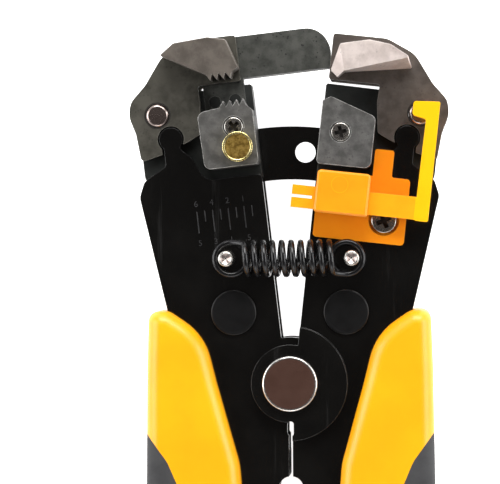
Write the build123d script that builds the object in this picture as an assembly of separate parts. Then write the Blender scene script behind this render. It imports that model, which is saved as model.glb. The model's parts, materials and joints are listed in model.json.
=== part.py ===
"""Self-adjusting wire stripper with pulling jaws, strip stop, cutter and crimp nests.

Frame: +X right, +Y towards the jaws, +Z up, out of the front of the tool. The tool lies on its
back. The origin is the main pivot axis on the plane that the tool rests on. Millimetres.

Each half is drawn upright, in a head frame: u runs outwards from the middle of the tool and v runs
up from the main pivot. The half then leans outwards, which is how it stands with the handles
squeezed. The left half is the right half mirrored about the YZ plane.
"""
from build123d import *
import math
import os

LEFT = -1
RIGHT = 1

# ---- stack heights, from the resting plane up ----
GRIP_THICK = 22.0
PLATE_THICK = 2.2
PLATE_GAP = 8.0
GUIDE_THICK = 1.4
GUIDE_CLEAR = 0.1
SIDE_CLEAR = 0.2
RUN_CLEAR = 0.05
PART_CLEAR = 0.3

# ---- heads and plates ----
HEAD_LEAN = 6.4
INNER_EDGE = 0.8
PLATE_WIDTH = 26.7
PLATE_SHOULDER = 45.3
RECESS_TOP = 44.0
REAR_PLATE_TOP = 51.2
KNOB_U = 18.8
KNOB_V = 53.4
KNOB_R = 2.45
KNOB_NECK = 3.4
SLIT_WIDTH = 0.8
CRIMP_END = 52.0
TANG_END = 118.0

# ---- main pivot ----
PIVOT_R = 3.5
PIVOT_HEAD_R = 5.75
PIVOT_HEAD_THICK = 1.5
HUB_R = 8.1
INNER_HUB_R = 9.6
JOGGLE_GAP = 0.7
JOGGLE_WALL = 1.6
SPACER_WALL = 2.5

# ---- arms and upper jaws ----
ARM_PIN_U = 10.0
ARM_PIN_V = 16.0
ARM_PIN_R = 2.5
ARM_DISC_R = 4.7
ARM_DISC_THICK = 0.7
ARM_FOOT_R = 6.0
ARM_TOP = 63.0
ARM_WIDTH = 25.3
JAW_RIVET_U = 21.0
JAW_RIVET_V = 58.65
JAW_RIVET_R = 2.5
JAW_RIVET_PROUD = 0.5
JAW_LUG_R = 3.8
CHEEK_TOP = 73.4
CHEEK_BOTTOM = 63.8
LEFT_CHEEK_EDGE = 2.9
RIGHT_CHEEK_EDGE = 1.3
NOTCH_CLEAR = 0.3
NOSE_THICK = 7.0
TOOTH_PITCH = 1.38
TOOTH_DEPTH = 1.3
TOOTH_COUNT = 4

# ---- lower blocks and their screws ----
BLOCK_BOTTOM = 46.0
BLOCK_WIDTH = 12.0
BLOCK_TOP = 57.8
BLOCK_TOOTH_TOP = 59.7
BLOCK_FOOT_TOP = 56.4
BLADE_TIP = 60.0
BLOCK_SCREW_R = 2.15
BLOCK_SCREW_HEAD = 1.8
BLOCK_SCREW_SHANK_R = 1.5
LEFT_SCREW_V = 54.2
RIGHT_SCREW_V = 52.9
BLOCK_SCREW_U = 5.1
ADJUSTER_U = 4.6
ADJUSTER_V = 49.9
ADJUSTER_R = 3.1
ADJUSTER_THICK = 3.0
ADJUSTER_SHANK_R = 1.25

# ---- bridge bar at the top and guide bar in the middle ----
BRIDGE_REACH = 16.7
BRIDGE_BOTTOM = 64.4
BRIDGE_TOP = 73.2
BRIDGE_ROOT = 11.0
BRIDGE_CORNER = 5.0
TONGUE_BOTTOM = 57.2
TONGUE_THICK = 3.0
TONGUE_INNER = 2.4
SMALL_RIVET_R = 1.25
GUIDE_R_IN = 42.6
GUIDE_R_OUT = 53.8
GUIDE_LEFT_ANGLE = 111.0
GUIDE_RIGHT_ANGLE = 76.5
GUIDE_HOLE_R = 2.17
GUIDE_HOLE_ANGLE = 86.3
GUIDE_RIVET_R = 2.0

# ---- return spring ----
SPRING_PIN_U = 10.0
SPRING_PIN_V = 27.3
SPRING_PIN_R = 1.65
SPRING_R = 4.0
SPRING_WIRE = 1.25
SPRING_PIN_HEAD = 1.0

# ---- strip stop ----
HOLDER_BASE_THICK = 1.7
HOLDER_BOTTOM = 30.9
HOLDER_WIDTH = 20.4
HOLDER_STEP = 44.7
HOLDER_TAB_TOP = 50.3
HOLDER_BLOCK_BOTTOM_V = 36.0
HOLDER_BLOCK_TOP_V = 44.8
HOLDER_BLOCK_WIDTH = 12.3
HOLDER_BLOCK_HEIGHT = 8.2
HOLDER_SCREW_U = 15.8
HOLDER_SCREW_V = 35.7
HOLDER_SCREW_R = 2.65
HOLDER_SCREW_SHANK_R = 1.5
HOLDER_RECESS_R = 3.15
ROD_CENTRE_V = 38.85
ROD_HEIGHT = 4.7
ROD_DEPTH = 3.6
ROD_RISE = 2.8
ROD_TAIL = -3.6
STOP_INNER = 22.0
STOP_WIDTH = 2.9
STOP_TOP = 61.2
STOP_HOOK = 19.4
STOP_HOOK_BOTTOM = 57.9

# ---- crimp dies and handles ----
DIE_TOP = 14.0
DIE_WIDTH = 8.6
DIE_SLIT = 0.6
NESTS = ((22.0, 2.6), (31.0, 2.1), (39.5, 1.6))
RELIEF_Y = 9.4
RELIEF_WIDTH = 1.4
RELIEF_HEIGHT = 3.1
RELIEF_ROUND = 0.6
TANG_RIVET_R = 2.5
TANG_RIVETS = ((16.5, -70.0), (17.5, -105.0))
GRIP_END = 134.0
GRIP_WIDTH = 30.2
GRIP_ROUND = 3.0

# ---- levels that follow from the stack ----
REAR_LOW = (GRIP_THICK - PLATE_GAP) / 2 - PLATE_THICK
REAR_TOP = REAR_LOW + PLATE_THICK
FRONT_LOW = REAR_TOP + PLATE_GAP
FRONT_TOP = FRONT_LOW + PLATE_THICK
GUIDE_LOW = REAR_TOP + GUIDE_CLEAR
GUIDE_TOP = GUIDE_LOW + GUIDE_THICK
ARM_LOW = GUIDE_TOP + SIDE_CLEAR + 0.05
ARM_HIGH = FRONT_LOW - SIDE_CLEAR
HUB_STEP = PLATE_THICK + SIDE_CLEAR
HUB_FRONT_TOP = FRONT_TOP + HUB_STEP
HUB_REAR_LOW = REAR_LOW - HUB_STEP
NOSE_TOP = FRONT_TOP + NOSE_THICK
BLOCK_HEAD_LOW = FRONT_TOP + PART_CLEAR
JOGGLE_IN = INNER_HUB_R + JOGGLE_GAP
JOGGLE_OUT = JOGGLE_IN + JOGGLE_WALL
SPRING_Z = FRONT_TOP + SPRING_R + 0.2
HOLDER_BLOCK_TOP = FRONT_TOP + HOLDER_BLOCK_HEIGHT
ROD_LOW = FRONT_TOP + ROD_RISE


# ---------------------------------------------------------------- drawing helpers
def outline_face(points):
    """A flat face from (x, y, corner radius) points in order."""
    corners = [(x, y) for x, y, _ in points]
    radii = [radius for _, _, radius in points]
    return make_face(FilletPolyline(*corners, radius=radii, close=True).edges())


def slab(points, low, high):
    """A flat piece from an outline, between two heights."""
    return Pos(0, 0, low) * extrude(outline_face(points), amount=high - low, dir=(0, 0, 1))


def disc(u, v, radius, low, high):
    """A round boss or hole cutter, standing on Z."""
    face = Pos(u, v, low) * Circle(radius)
    return extrude(face, amount=high - low, dir=(0, 0, 1))


def block(u0, u1, v0, v1, low, high):
    """A plain rectangular cutter or bar."""
    return slab([(u0, v0, 0), (u1, v0, 0), (u1, v1, 0), (u0, v1, 0)], low, high)


def on_side(shape, side):
    """A shape drawn on the right, or its mirror image on the left."""
    return shape if side == RIGHT else mirror(shape, about=Plane.YZ)


def lean(shape, side):
    """A shape drawn in the head frame, leant outwards on the named side."""
    return on_side(Rot(0, 0, -HEAD_LEAN) * shape, side)


def head_point(u, v):
    """Where a head-frame point of the right half stands in the part's frame."""
    turn = math.radians(HEAD_LEAN)
    return u * math.cos(turn) + v * math.sin(turn), v * math.cos(turn) - u * math.sin(turn)


def chamfer_top(shape, size):
    """Break the edges of the highest face."""
    return chamfer(shape.faces().sort_by(Axis.Z)[-1].edges(), size)


# ---------------------------------------------------------------- plates
def plate_upper(low, high, is_front):
    """The upper plate, with the round knob that the cheek's notch closes on."""
    neck_in = KNOB_U - KNOB_NECK / 2 - 0.05
    neck_out = KNOB_U + KNOB_NECK / 2 - 0.05
    if is_front:
        top_edge = [
            (INNER_EDGE, RECESS_TOP, 0.8),
            (BLOCK_WIDTH + 0.6, RECESS_TOP, 3.0),
            (BLOCK_WIDTH + 2.9, RECESS_TOP + 5.0, 1.5),
            (neck_in, KNOB_V - KNOB_R + 0.2, 0.4),
        ]
    else:
        top_edge = [
            (INNER_EDGE, REAR_PLATE_TOP, 1.5),
            (neck_in, REAR_PLATE_TOP - 0.4, 0.4),
        ]
    outline = [(INNER_EDGE, 5.0, 0)] + top_edge
    outline += [
        (neck_in, KNOB_V, 0),
        (neck_out, KNOB_V, 0),
        (neck_out, PLATE_SHOULDER + 2.6, 1.0),
        (PLATE_WIDTH - 1.4, PLATE_SHOULDER, 2.4),
        (PLATE_WIDTH, PLATE_SHOULDER - 3.2, 2.4),
        (PLATE_WIDTH - 3.1, 17.0, 0),
        (PLATE_WIDTH - 3.6, 8.0, 0),
        (PLATE_WIDTH - 8.0, 5.0, 0),
    ]
    return slab(outline, low, high) + disc(KNOB_U, KNOB_V, KNOB_R, low, high)


def plate_lower(low, high):
    """The lower plate: cutter and crimp edge by the slit, then the tang inside the grip."""
    outline = [
        (SLIT_WIDTH / 2, 5.0, 0),
        (SLIT_WIDTH / 2, -CRIMP_END, 1.0),
        (9.5, -CRIMP_END - 8.0, 3.0),
        (13.0, -TANG_END, 3.0),
        (20.5, -TANG_END, 3.0),
        (23.5, -55.0, 6.0),
        (24.6, 8.0, 0),
        (12.0, 9.0, 0),
    ]
    return slab(outline, low, high)


def nest_cutter(low, high):
    """The crimp nests and the relief slot, along the slit between the halves."""
    holes = [disc(0, -y, radius, low, high) for y, radius in NESTS]
    relief = Pos(0, -RELIEF_Y, low) * extrude(RectangleRounded(RELIEF_WIDTH, RELIEF_HEIGHT, RELIEF_ROUND), amount=high - low)
    cutter = relief
    for hole in holes:
        cutter = cutter + hole
    return cutter


def plate_blank(side, low, high, is_front):
    """Upper and lower plate joined, before the hub and the holes."""
    return lean(plate_upper(low, high, is_front), side) + on_side(plate_lower(low, high), side)


def pin_holes(side, low, high, with_spring_pin):
    """Cutters for the pins that cross a plate."""
    cutter = disc(ARM_PIN_U, ARM_PIN_V, ARM_PIN_R, low, high)
    if with_spring_pin:
        cutter = cutter + disc(SPRING_PIN_U, SPRING_PIN_V, SPRING_PIN_R, low, high)
    placed = lean(cutter, side)
    for x, y in TANG_RIVETS:
        placed = placed + disc(side * x, y, TANG_RIVET_R, low, high)
    return placed


def left_plate(low, high, is_front):
    """A left plate. Its hub lies inside the right plate's hub."""
    body = plate_blank(LEFT, low, high, is_front) + disc(0, 0, INNER_HUB_R, low, high)
    body = body - disc(0, 0, PIVOT_R, low, high) - nest_cutter(low, high)
    body = body - pin_holes(LEFT, low, high, is_front)
    if not is_front:
        for x, y in guide_rivet_places():
            body = body - disc(x, y, GUIDE_RIVET_R, low, high)
    return body


def right_plate(low, high, is_front):
    """A right plate, stepped away from the left one round the hub so that it laps over it."""
    hub_low = low + HUB_STEP if is_front else low - HUB_STEP
    hub_high = hub_low + PLATE_THICK
    wall_low = min(low, hub_low)
    wall_high = max(high, hub_high)
    flat = plate_blank(RIGHT, low, high, is_front) - disc(0, 0, JOGGLE_IN, low, high)
    raised = plate_blank(RIGHT, wall_low, wall_high, is_front) & disc(0, 0, JOGGLE_OUT, wall_low, wall_high)
    raised = raised - disc(0, 0, JOGGLE_IN, wall_low, wall_high)
    cap = plate_blank(RIGHT, hub_low, hub_high, is_front) & disc(0, 0, JOGGLE_OUT, hub_low, hub_high)
    body = flat + raised + cap + disc(0, 0, HUB_R, hub_low, hub_high)
    body = body - disc(0, 0, PIVOT_R + RUN_CLEAR, wall_low, wall_high) - nest_cutter(wall_low, wall_high)
    body = body - pin_holes(RIGHT, wall_low, wall_high, is_front)
    if is_front:
        screw = disc(HOLDER_SCREW_U, HOLDER_SCREW_V, HOLDER_SCREW_SHANK_R, low, high)
        body = body - lean(screw, RIGHT)
    return body


def pivot_rivet():
    """The main rivet, with a flat chamfered head in front and a formed head behind."""
    shank = disc(0, 0, PIVOT_R, 0, HUB_FRONT_TOP + SIDE_CLEAR / 2)
    front_low = HUB_FRONT_TOP + SIDE_CLEAR / 2
    head = chamfer_top(disc(0, 0, PIVOT_HEAD_R, front_low, front_low + PIVOT_HEAD_THICK), 0.6)
    rear = disc(0, 0, PIVOT_HEAD_R, 0, HUB_REAR_LOW - SIDE_CLEAR / 2)
    return shank + head + rear


def pivot_spacer():
    """The bush that holds the left plates apart round the main rivet."""
    tube = disc(0, 0, PIVOT_R + SPACER_WALL, REAR_TOP, FRONT_LOW)
    return tube - disc(0, 0, PIVOT_R, REAR_TOP, FRONT_LOW)


def tang_rivets(side):
    """The spacer rivets that hold a half's plates apart inside the grip."""
    group = []
    for x, y in TANG_RIVETS:
        pin = disc(side * x, y, TANG_RIVET_R, REAR_LOW, FRONT_TOP)
        collar = disc(side * x, y, TANG_RIVET_R + 1.5, REAR_TOP, FRONT_LOW)
        group += (pin + collar).solids()
    return Compound(group)


def crimp_die(side):
    """The hardened die between a half's plates, with the cutting edge and its nests."""
    outline = [
        (DIE_SLIT / 2, -DIE_TOP, 0),
        (DIE_SLIT / 2, -CRIMP_END + 1.0, 0.5),
        (DIE_WIDTH - 1.5, -CRIMP_END + 1.0, 0.5),
        (DIE_WIDTH, -DIE_TOP, 0.5),
    ]
    body = on_side(slab(outline, REAR_TOP, FRONT_LOW), side)
    return body - nest_cutter(REAR_TOP, FRONT_LOW)


# ---------------------------------------------------------------- arms and jaws
def arm(side):
    """The lever between a half's plates that carries the lower block and the upper jaw."""
    outline = [
        (ARM_PIN_U - ARM_FOOT_R, ARM_PIN_V - 2.0, 0),
        (INNER_EDGE + 1.4, RECESS_TOP - 6.0, 3.0),
        (INNER_EDGE, RECESS_TOP, 1.0),
        (INNER_EDGE, ARM_TOP, 0.5),
        (JAW_RIVET_U - 3.0, ARM_TOP - 0.3, 1.0),
        (JAW_RIVET_U, JAW_RIVET_V, 0),
        (ARM_WIDTH, JAW_RIVET_V - 0.5, 1.0),
        (ARM_WIDTH, BLOCK_BOTTOM, 2.0),
        (ARM_PIN_U + ARM_FOOT_R + 4.0, 34.0, 6.0),
        (ARM_PIN_U + ARM_FOOT_R, ARM_PIN_V - 2.0, 0),
    ]
    body = slab(outline, ARM_LOW, ARM_HIGH)
    body = body + disc(ARM_PIN_U, ARM_PIN_V - 0.6, ARM_FOOT_R, ARM_LOW, ARM_HIGH)
    body = body + disc(JAW_RIVET_U, JAW_RIVET_V, JAW_LUG_R, ARM_LOW, ARM_HIGH)
    body = body - disc(ARM_PIN_U, ARM_PIN_V, ARM_PIN_R + RUN_CLEAR, ARM_LOW, ARM_HIGH)
    body = body - disc(JAW_RIVET_U, JAW_RIVET_V, JAW_RIVET_R, ARM_LOW, ARM_HIGH)
    screw_v = LEFT_SCREW_V if side == LEFT else RIGHT_SCREW_V
    body = body - disc(BLOCK_SCREW_U, screw_v, BLOCK_SCREW_SHANK_R, ARM_LOW, ARM_HIGH)
    if side == LEFT:
        body = body - block(TONGUE_INNER, BRIDGE_ROOT, TONGUE_BOTTOM, ARM_TOP + 1.0,
                            ARM_HIGH - TONGUE_THICK, ARM_HIGH)
        for u, v in tongue_rivet_places():
            body = body - disc(u, v, SMALL_RIVET_R, ARM_LOW, ARM_HIGH)
    return lean(body, side)


def cheek(side, low, high):
    """One side of an upper jaw, with the C notch for the plate's knob."""
    inner = LEFT_CHEEK_EDGE if side == LEFT else RIGHT_CHEEK_EDGE
    outline = [
        (inner, CHEEK_BOTTOM, 0.5),
        (inner, CHEEK_TOP, 0.6),
        (12.6, CHEEK_TOP, 4.0),
        (18.6, 70.8, 6.0),
        (22.8, 65.2, 6.0),
        (JAW_RIVET_U + 5.4, 61.9, 4.0),
        (JAW_RIVET_U + 5.9, 58.9, 4.0),
        (JAW_RIVET_U + 4.9, 55.3, 3.0),
        (25.4, 49.4, 0.8),
        (KNOB_U + 2.2, 50.4, 0.3),
        (KNOB_U - 3.2, 52.3, 0.5),
        (12.6, 53.7, 0.7),
        (11.8, 60.1, 3.0),
        (12.0, CHEEK_BOTTOM, 0.5),
    ]
    notch_r = KNOB_R + NOTCH_CLEAR
    slot_out = KNOB_U + KNOB_NECK / 2 + 0.4
    body = slab(outline, low, high)
    body = body - disc(KNOB_U, KNOB_V, notch_r, low, high)
    body = body - block(KNOB_U - notch_r + 0.25, slot_out, BLOCK_BOTTOM, KNOB_V, low, high)
    return body - disc(JAW_RIVET_U, JAW_RIVET_V, JAW_RIVET_R + RUN_CLEAR, low, high)


def upper_jaw(side):
    """The folded upper jaw: two cheeks joined by a web at the outer side."""
    web = [
        (26.2, 62.1, 0),
        (22.9, 65.1, 0),
        (20.9, 67.7, 0),
        (19.2, 66.5, 0),
        (21.4, 63.9, 0.5),
        (24.9, 60.8, 0),
    ]
    body = cheek(side, FRONT_LOW, FRONT_TOP) + cheek(side, REAR_LOW, REAR_TOP) + slab(web, REAR_TOP, FRONT_LOW)
    return lean(body, side)


def tooth_row(start_u, valley_v, peak_v, count):
    """Saw teeth as outline points, from the inner side outwards."""
    points = []
    for index in range(count):
        left = start_u + index * TOOTH_PITCH
        points.append((left, valley_v, 0))
        points.append((left + TOOTH_PITCH * 0.35, peak_v, 0))
    points.append((start_u + count * TOOTH_PITCH, valley_v, 0))
    return points


def gripping_nose():
    """The toothed upper nose that holds the cable."""
    teeth = tooth_row(4.1, CHEEK_BOTTOM + 1.7, CHEEK_BOTTOM + 1.7 - TOOTH_DEPTH, TOOTH_COUNT)
    outline = [(2.7, 66.2, 0)] + teeth
    outline += [
        (18.6, 70.6, 0.3),
        (15.5, 72.8, 1.5),
        (8.4, CHEEK_TOP - 0.2, 2.0),
        (4.7, 72.3, 0.4),
    ]
    return lean(slab(outline, FRONT_TOP, NOSE_TOP), LEFT)


def blade_nose():
    """The upper nose with the stripping blade's edge at its inner tip."""
    outline = [
        (3.2, 64.2, 0),
        (4.5, 65.5, 0),
        (17.8, 69.7, 0.3),
        (13.5, 71.9, 2.0),
        (9.1, 72.4, 1.0),
        (3.1, 71.0, 0.6),
        (1.7, 65.5, 0),
    ]
    return lean(slab(outline, FRONT_TOP, NOSE_TOP), RIGHT)


def lower_block(side, top_points):
    """A lower block: its foot sits on the arm, its head stands in front of the cheek."""
    base = [
        (INNER_EDGE, BLOCK_BOTTOM, 0.8),
        (BLOCK_WIDTH, BLOCK_BOTTOM, 1.4),
    ]
    foot = base + [(BLOCK_WIDTH, BLOCK_FOOT_TOP, 0.6), (INNER_EDGE, BLOCK_FOOT_TOP, 0.4)]
    body = slab(foot, ARM_HIGH, BLOCK_HEAD_LOW) + slab(base + top_points, BLOCK_HEAD_LOW, NOSE_TOP)
    screw_v = LEFT_SCREW_V if side == LEFT else RIGHT_SCREW_V
    body = body - disc(BLOCK_SCREW_U, screw_v, BLOCK_SCREW_SHANK_R, ARM_HIGH, NOSE_TOP)
    body = body - disc(BLOCK_SCREW_U, screw_v, BLOCK_SCREW_R, NOSE_TOP - BLOCK_SCREW_HEAD, NOSE_TOP)
    if side == LEFT:
        body = body - disc(ADJUSTER_U, ADJUSTER_V, ADJUSTER_SHANK_R + RUN_CLEAR, FRONT_LOW, NOSE_TOP)
    return lean(body, side)


def gripping_block():
    """The toothed lower block."""
    teeth = tooth_row(2.0, BLOCK_TOOTH_TOP - TOOTH_DEPTH, BLOCK_TOOTH_TOP, TOOTH_COUNT)
    top = [(BLOCK_WIDTH + 0.3, BLOCK_TOP, 1.6)] + list(reversed(teeth)) + [(INNER_EDGE, BLOCK_TOP - 0.6, 0)]
    return lower_block(LEFT, top)


def blade_block():
    """The lower block with the pointed edge that meets the blade nose."""
    top = [
        (BLOCK_WIDTH, 56.7, 1.2),
        (2.4, BLADE_TIP, 0),
        (INNER_EDGE, BLADE_TIP - 1.0, 0),
    ]
    return lower_block(RIGHT, top)


def block_screw(side):
    """The cross-recess screw that holds a lower block on its arm."""
    screw_v = LEFT_SCREW_V if side == LEFT else RIGHT_SCREW_V
    head_low = NOSE_TOP - BLOCK_SCREW_HEAD
    body = disc(BLOCK_SCREW_U, screw_v, BLOCK_SCREW_SHANK_R, ARM_LOW, head_low)
    body = body + disc(BLOCK_SCREW_U, screw_v, BLOCK_SCREW_R, head_low, NOSE_TOP)
    return lean(body - cross_recess(BLOCK_SCREW_U, screw_v, BLOCK_SCREW_R, NOSE_TOP), side)


def cross_recess(u, v, head_r, top):
    """A cross-shaped recess cutter."""
    long_side = head_r * 0.62
    short_side = head_r * 0.2
    one = block(u - long_side, u + long_side, v - short_side, v + short_side, top - 0.9, top)
    other = block(u - short_side, u + short_side, v - long_side, v + long_side, top - 0.9, top)
    return one + other


def adjuster_knob():
    """The knurled brass thumb screw in the toothed block."""
    low = NOSE_TOP + PART_CLEAR
    head = chamfer_top(disc(ADJUSTER_U, ADJUSTER_V, ADJUSTER_R, low, low + ADJUSTER_THICK), 0.3)
    shank = disc(ADJUSTER_U, ADJUSTER_V, ADJUSTER_SHANK_R, FRONT_LOW + 0.4, low)
    return lean(head + shank, LEFT)


def jaw_rivet(side):
    """The rivet that an upper jaw turns on."""
    body = disc(JAW_RIVET_U, JAW_RIVET_V, JAW_RIVET_R, REAR_LOW - JAW_RIVET_PROUD, FRONT_TOP + JAW_RIVET_PROUD)
    return lean(chamfer_top(body, 0.3), side)


def arm_pin(side):
    """The pin that an arm turns on, with a wide black disc at each end."""
    body = disc(ARM_PIN_U, ARM_PIN_V, ARM_PIN_R, REAR_LOW, FRONT_TOP)
    body = body + disc(ARM_PIN_U, ARM_PIN_V, ARM_DISC_R, FRONT_TOP, FRONT_TOP + ARM_DISC_THICK)
    body = body + disc(ARM_PIN_U, ARM_PIN_V, ARM_DISC_R, REAR_LOW - ARM_DISC_THICK, REAR_LOW)
    return lean(body, side)


# ---------------------------------------------------------------- bridge and guide
def tongue_rivet_places():
    """The two rivets through the bridge's tongue, in the head frame."""
    middle = (TONGUE_BOTTOM + ARM_TOP) / 2
    quarter = (BRIDGE_ROOT - TONGUE_INNER) / 4
    return [(TONGUE_INNER + quarter, middle), (BRIDGE_ROOT - quarter, middle)]


def bridge_bar():
    """The bar across the top, let into the left arm and running free inside the right jaw."""
    outline = [
        (BRIDGE_ROOT, BRIDGE_TOP, 1.0),
        (-BRIDGE_REACH, BRIDGE_TOP, BRIDGE_CORNER),
        (-BRIDGE_REACH + 0.6, BRIDGE_BOTTOM, 0.8),
        (BRIDGE_ROOT, BRIDGE_BOTTOM, 0),
    ]
    bar = slab(outline, ARM_LOW, ARM_HIGH)
    tongue = block(TONGUE_INNER, BRIDGE_ROOT, TONGUE_BOTTOM, BRIDGE_BOTTOM,
                   ARM_HIGH - TONGUE_THICK, ARM_HIGH)
    body = bar + tongue
    for u, v in tongue_rivet_places():
        body = body - disc(u, v, SMALL_RIVET_R, ARM_LOW, ARM_HIGH)
    return lean(body, LEFT)


def bridge_rivets():
    """The two flush rivets that hold the bridge's tongue on the left arm."""
    group = []
    for u, v in tongue_rivet_places():
        group += lean(disc(u, v, SMALL_RIVET_R, ARM_LOW, ARM_HIGH), LEFT).solids()
    return Compound(group)


def polar(radius, angle):
    """A point on a circle about the main pivot."""
    turn = math.radians(angle)
    return radius * math.cos(turn), radius * math.sin(turn)


def guide_rivet_places():
    """Two rivets that hold the guide bar on the left rear plate."""
    middle = (GUIDE_R_IN + RECESS_TOP) / 2
    return [polar(middle + 1.6, GUIDE_LEFT_ANGLE - 4.0), polar(middle + 1.6, GUIDE_LEFT_ANGLE - 10.0)]


def guide_bar():
    """The curved bar with the hang hole, concentric with the main pivot."""
    a = polar(GUIDE_R_IN, GUIDE_LEFT_ANGLE)
    b = polar(GUIDE_R_OUT, GUIDE_LEFT_ANGLE)
    c = polar(GUIDE_R_OUT, GUIDE_RIGHT_ANGLE)
    d = polar(GUIDE_R_IN, GUIDE_RIGHT_ANGLE)
    middle = (GUIDE_LEFT_ANGLE + GUIDE_RIGHT_ANGLE) / 2
    edges = [
        Line(a, b),
        ThreePointArc(b, polar(GUIDE_R_OUT, middle), c),
        Line(c, d),
        ThreePointArc(d, polar(GUIDE_R_IN, middle), a),
    ]
    face = make_face([edge.edge() for edge in edges])
    body = Pos(0, 0, GUIDE_LOW) * extrude(face, amount=GUIDE_THICK, dir=(0, 0, 1))
    hole_x, hole_y = polar((GUIDE_R_IN + GUIDE_R_OUT) / 2 + 0.2, GUIDE_HOLE_ANGLE)
    body = body - disc(hole_x, hole_y, GUIDE_HOLE_R, GUIDE_LOW, GUIDE_TOP)
    for x, y in guide_rivet_places():
        body = body - disc(x, y, GUIDE_RIVET_R, GUIDE_LOW, GUIDE_TOP)
    return body


def guide_rivets():
    """The rivets of the guide bar, each with a thin collar between bar and plate."""
    group = []
    for x, y in guide_rivet_places():
        pin = disc(x, y, GUIDE_RIVET_R, REAR_LOW, GUIDE_TOP)
        group += (pin + disc(x, y, GUIDE_RIVET_R + 0.6, REAR_TOP, GUIDE_LOW)).solids()
    return Compound(group)


# ---------------------------------------------------------------- return spring
def spring_pin(side):
    """A pin in the front plate that a spring end hooks over."""
    top = SPRING_Z + SPRING_WIRE / 2 + SPRING_PIN_HEAD
    body = disc(SPRING_PIN_U, SPRING_PIN_V, SPRING_PIN_R, FRONT_LOW, top)
    return lean(chamfer_top(body, 0.35), side)


def return_spring():
    """The extension spring's outer shape: the coil as a tube, with a ring at each end."""
    pin_x, pin_y = head_point(SPRING_PIN_U, SPRING_PIN_V)
    ring_r = SPRING_R - SPRING_WIRE / 2
    ring_inner = ring_r - SPRING_WIRE / 2
    ring_x = pin_x - (ring_inner - SPRING_PIN_R) + 0.1
    coil_half = ring_x - ring_r + SPRING_WIRE / 2
    tube = Cylinder(SPRING_R, 2 * coil_half, rotation=(0, 90, 0))
    tube = tube - Cylinder(SPRING_R - SPRING_WIRE, 2 * coil_half, rotation=(0, 90, 0))
    body = Pos(0, pin_y, SPRING_Z) * tube
    for side in (LEFT, RIGHT):
        body = body + Pos(side * ring_x, pin_y, SPRING_Z) * Torus(ring_r, SPRING_WIRE / 2)
    return body


# ---------------------------------------------------------------- strip stop
def stop_holder():
    """The moulded holder: a base plate screwed to the right plate and a block for the rod."""
    base_top = FRONT_TOP + HOLDER_BASE_THICK
    base = [
        (INNER_EDGE + 0.6, HOLDER_BOTTOM, 0.8),
        (HOLDER_WIDTH, HOLDER_BOTTOM, 0.8),
        (HOLDER_WIDTH, HOLDER_STEP, 0.8),
        (BLOCK_WIDTH + 4.5, HOLDER_STEP, 0.5),
        (BLOCK_WIDTH + 4.5, HOLDER_TAB_TOP, 0.5),
        (BLOCK_WIDTH + 0.5, HOLDER_TAB_TOP, 0.5),
        (BLOCK_WIDTH + 0.5, HOLDER_STEP, 0),
        (INNER_EDGE + 0.6, HOLDER_STEP + 0.1, 0.8),
    ]
    tower = [
        (INNER_EDGE + 0.5, HOLDER_BLOCK_BOTTOM_V, 0.5),
        (HOLDER_BLOCK_WIDTH, HOLDER_BLOCK_BOTTOM_V, 0.5),
        (HOLDER_BLOCK_WIDTH, HOLDER_BLOCK_TOP_V, 0.8),
        (INNER_EDGE + 0.5, HOLDER_BLOCK_TOP_V, 0.8),
    ]
    body = slab(base, FRONT_TOP, base_top) + chamfer_top(slab(tower, FRONT_TOP, HOLDER_BLOCK_TOP), 0.4)
    channel_low = ROD_LOW - RUN_CLEAR * 2
    channel_high = ROD_LOW + ROD_DEPTH + RUN_CLEAR * 2
    half = ROD_HEIGHT / 2 + RUN_CLEAR * 2
    body = body - block(-1.0, HOLDER_BLOCK_WIDTH + 1.0, ROD_CENTRE_V - half, ROD_CENTRE_V + half,
                        channel_low, channel_high)
    body = body - disc(HOLDER_SCREW_U, HOLDER_SCREW_V, HOLDER_SCREW_SHANK_R, FRONT_TOP, base_top)
    body = body - (disc(HOLDER_SCREW_U, HOLDER_SCREW_V, HOLDER_RECESS_R, base_top - 0.8, HOLDER_BLOCK_TOP))
    return lean(body, RIGHT)


def holder_screw():
    """The screw that holds the stop holder on the right plate."""
    seat = FRONT_TOP + HOLDER_BASE_THICK - 0.8
    body = disc(HOLDER_SCREW_U, HOLDER_SCREW_V, HOLDER_SCREW_SHANK_R, FRONT_LOW, seat)
    body = body + disc(HOLDER_SCREW_U, HOLDER_SCREW_V, HOLDER_SCREW_R, seat, seat + 1.2)
    cutter = cross_recess(HOLDER_SCREW_U, HOLDER_SCREW_V, HOLDER_SCREW_R, seat + 1.2)
    return lean(body - cutter, RIGHT)


def stop_slider():
    """The sliding strip stop: a forked rod with an upright and a hook at its top."""
    low = ROD_LOW
    high = ROD_LOW + ROD_DEPTH
    half = ROD_HEIGHT / 2
    rod = block(ROD_TAIL, STOP_INNER + 0.5, ROD_CENTRE_V - half, ROD_CENTRE_V + half, low, high)
    fork = block(ROD_TAIL, 0.6, ROD_CENTRE_V - 0.25, ROD_CENTRE_V + 0.35, low, high)
    upright = [
        (STOP_INNER, ROD_CENTRE_V - half - 0.2, 0.4),
        (STOP_INNER + STOP_WIDTH, ROD_CENTRE_V - half - 0.2, 0.4),
        (STOP_INNER + STOP_WIDTH, STOP_TOP, 0.4),
        (STOP_HOOK, STOP_TOP - 0.4, 0.6),
        (STOP_HOOK, STOP_HOOK_BOTTOM, 0.8),
        (STOP_INNER + 0.3, STOP_HOOK_BOTTOM - 0.6, 0.5),
    ]
    body = rod - fork + slab(upright, low - 0.3, high)
    return lean(body, RIGHT)


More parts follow.
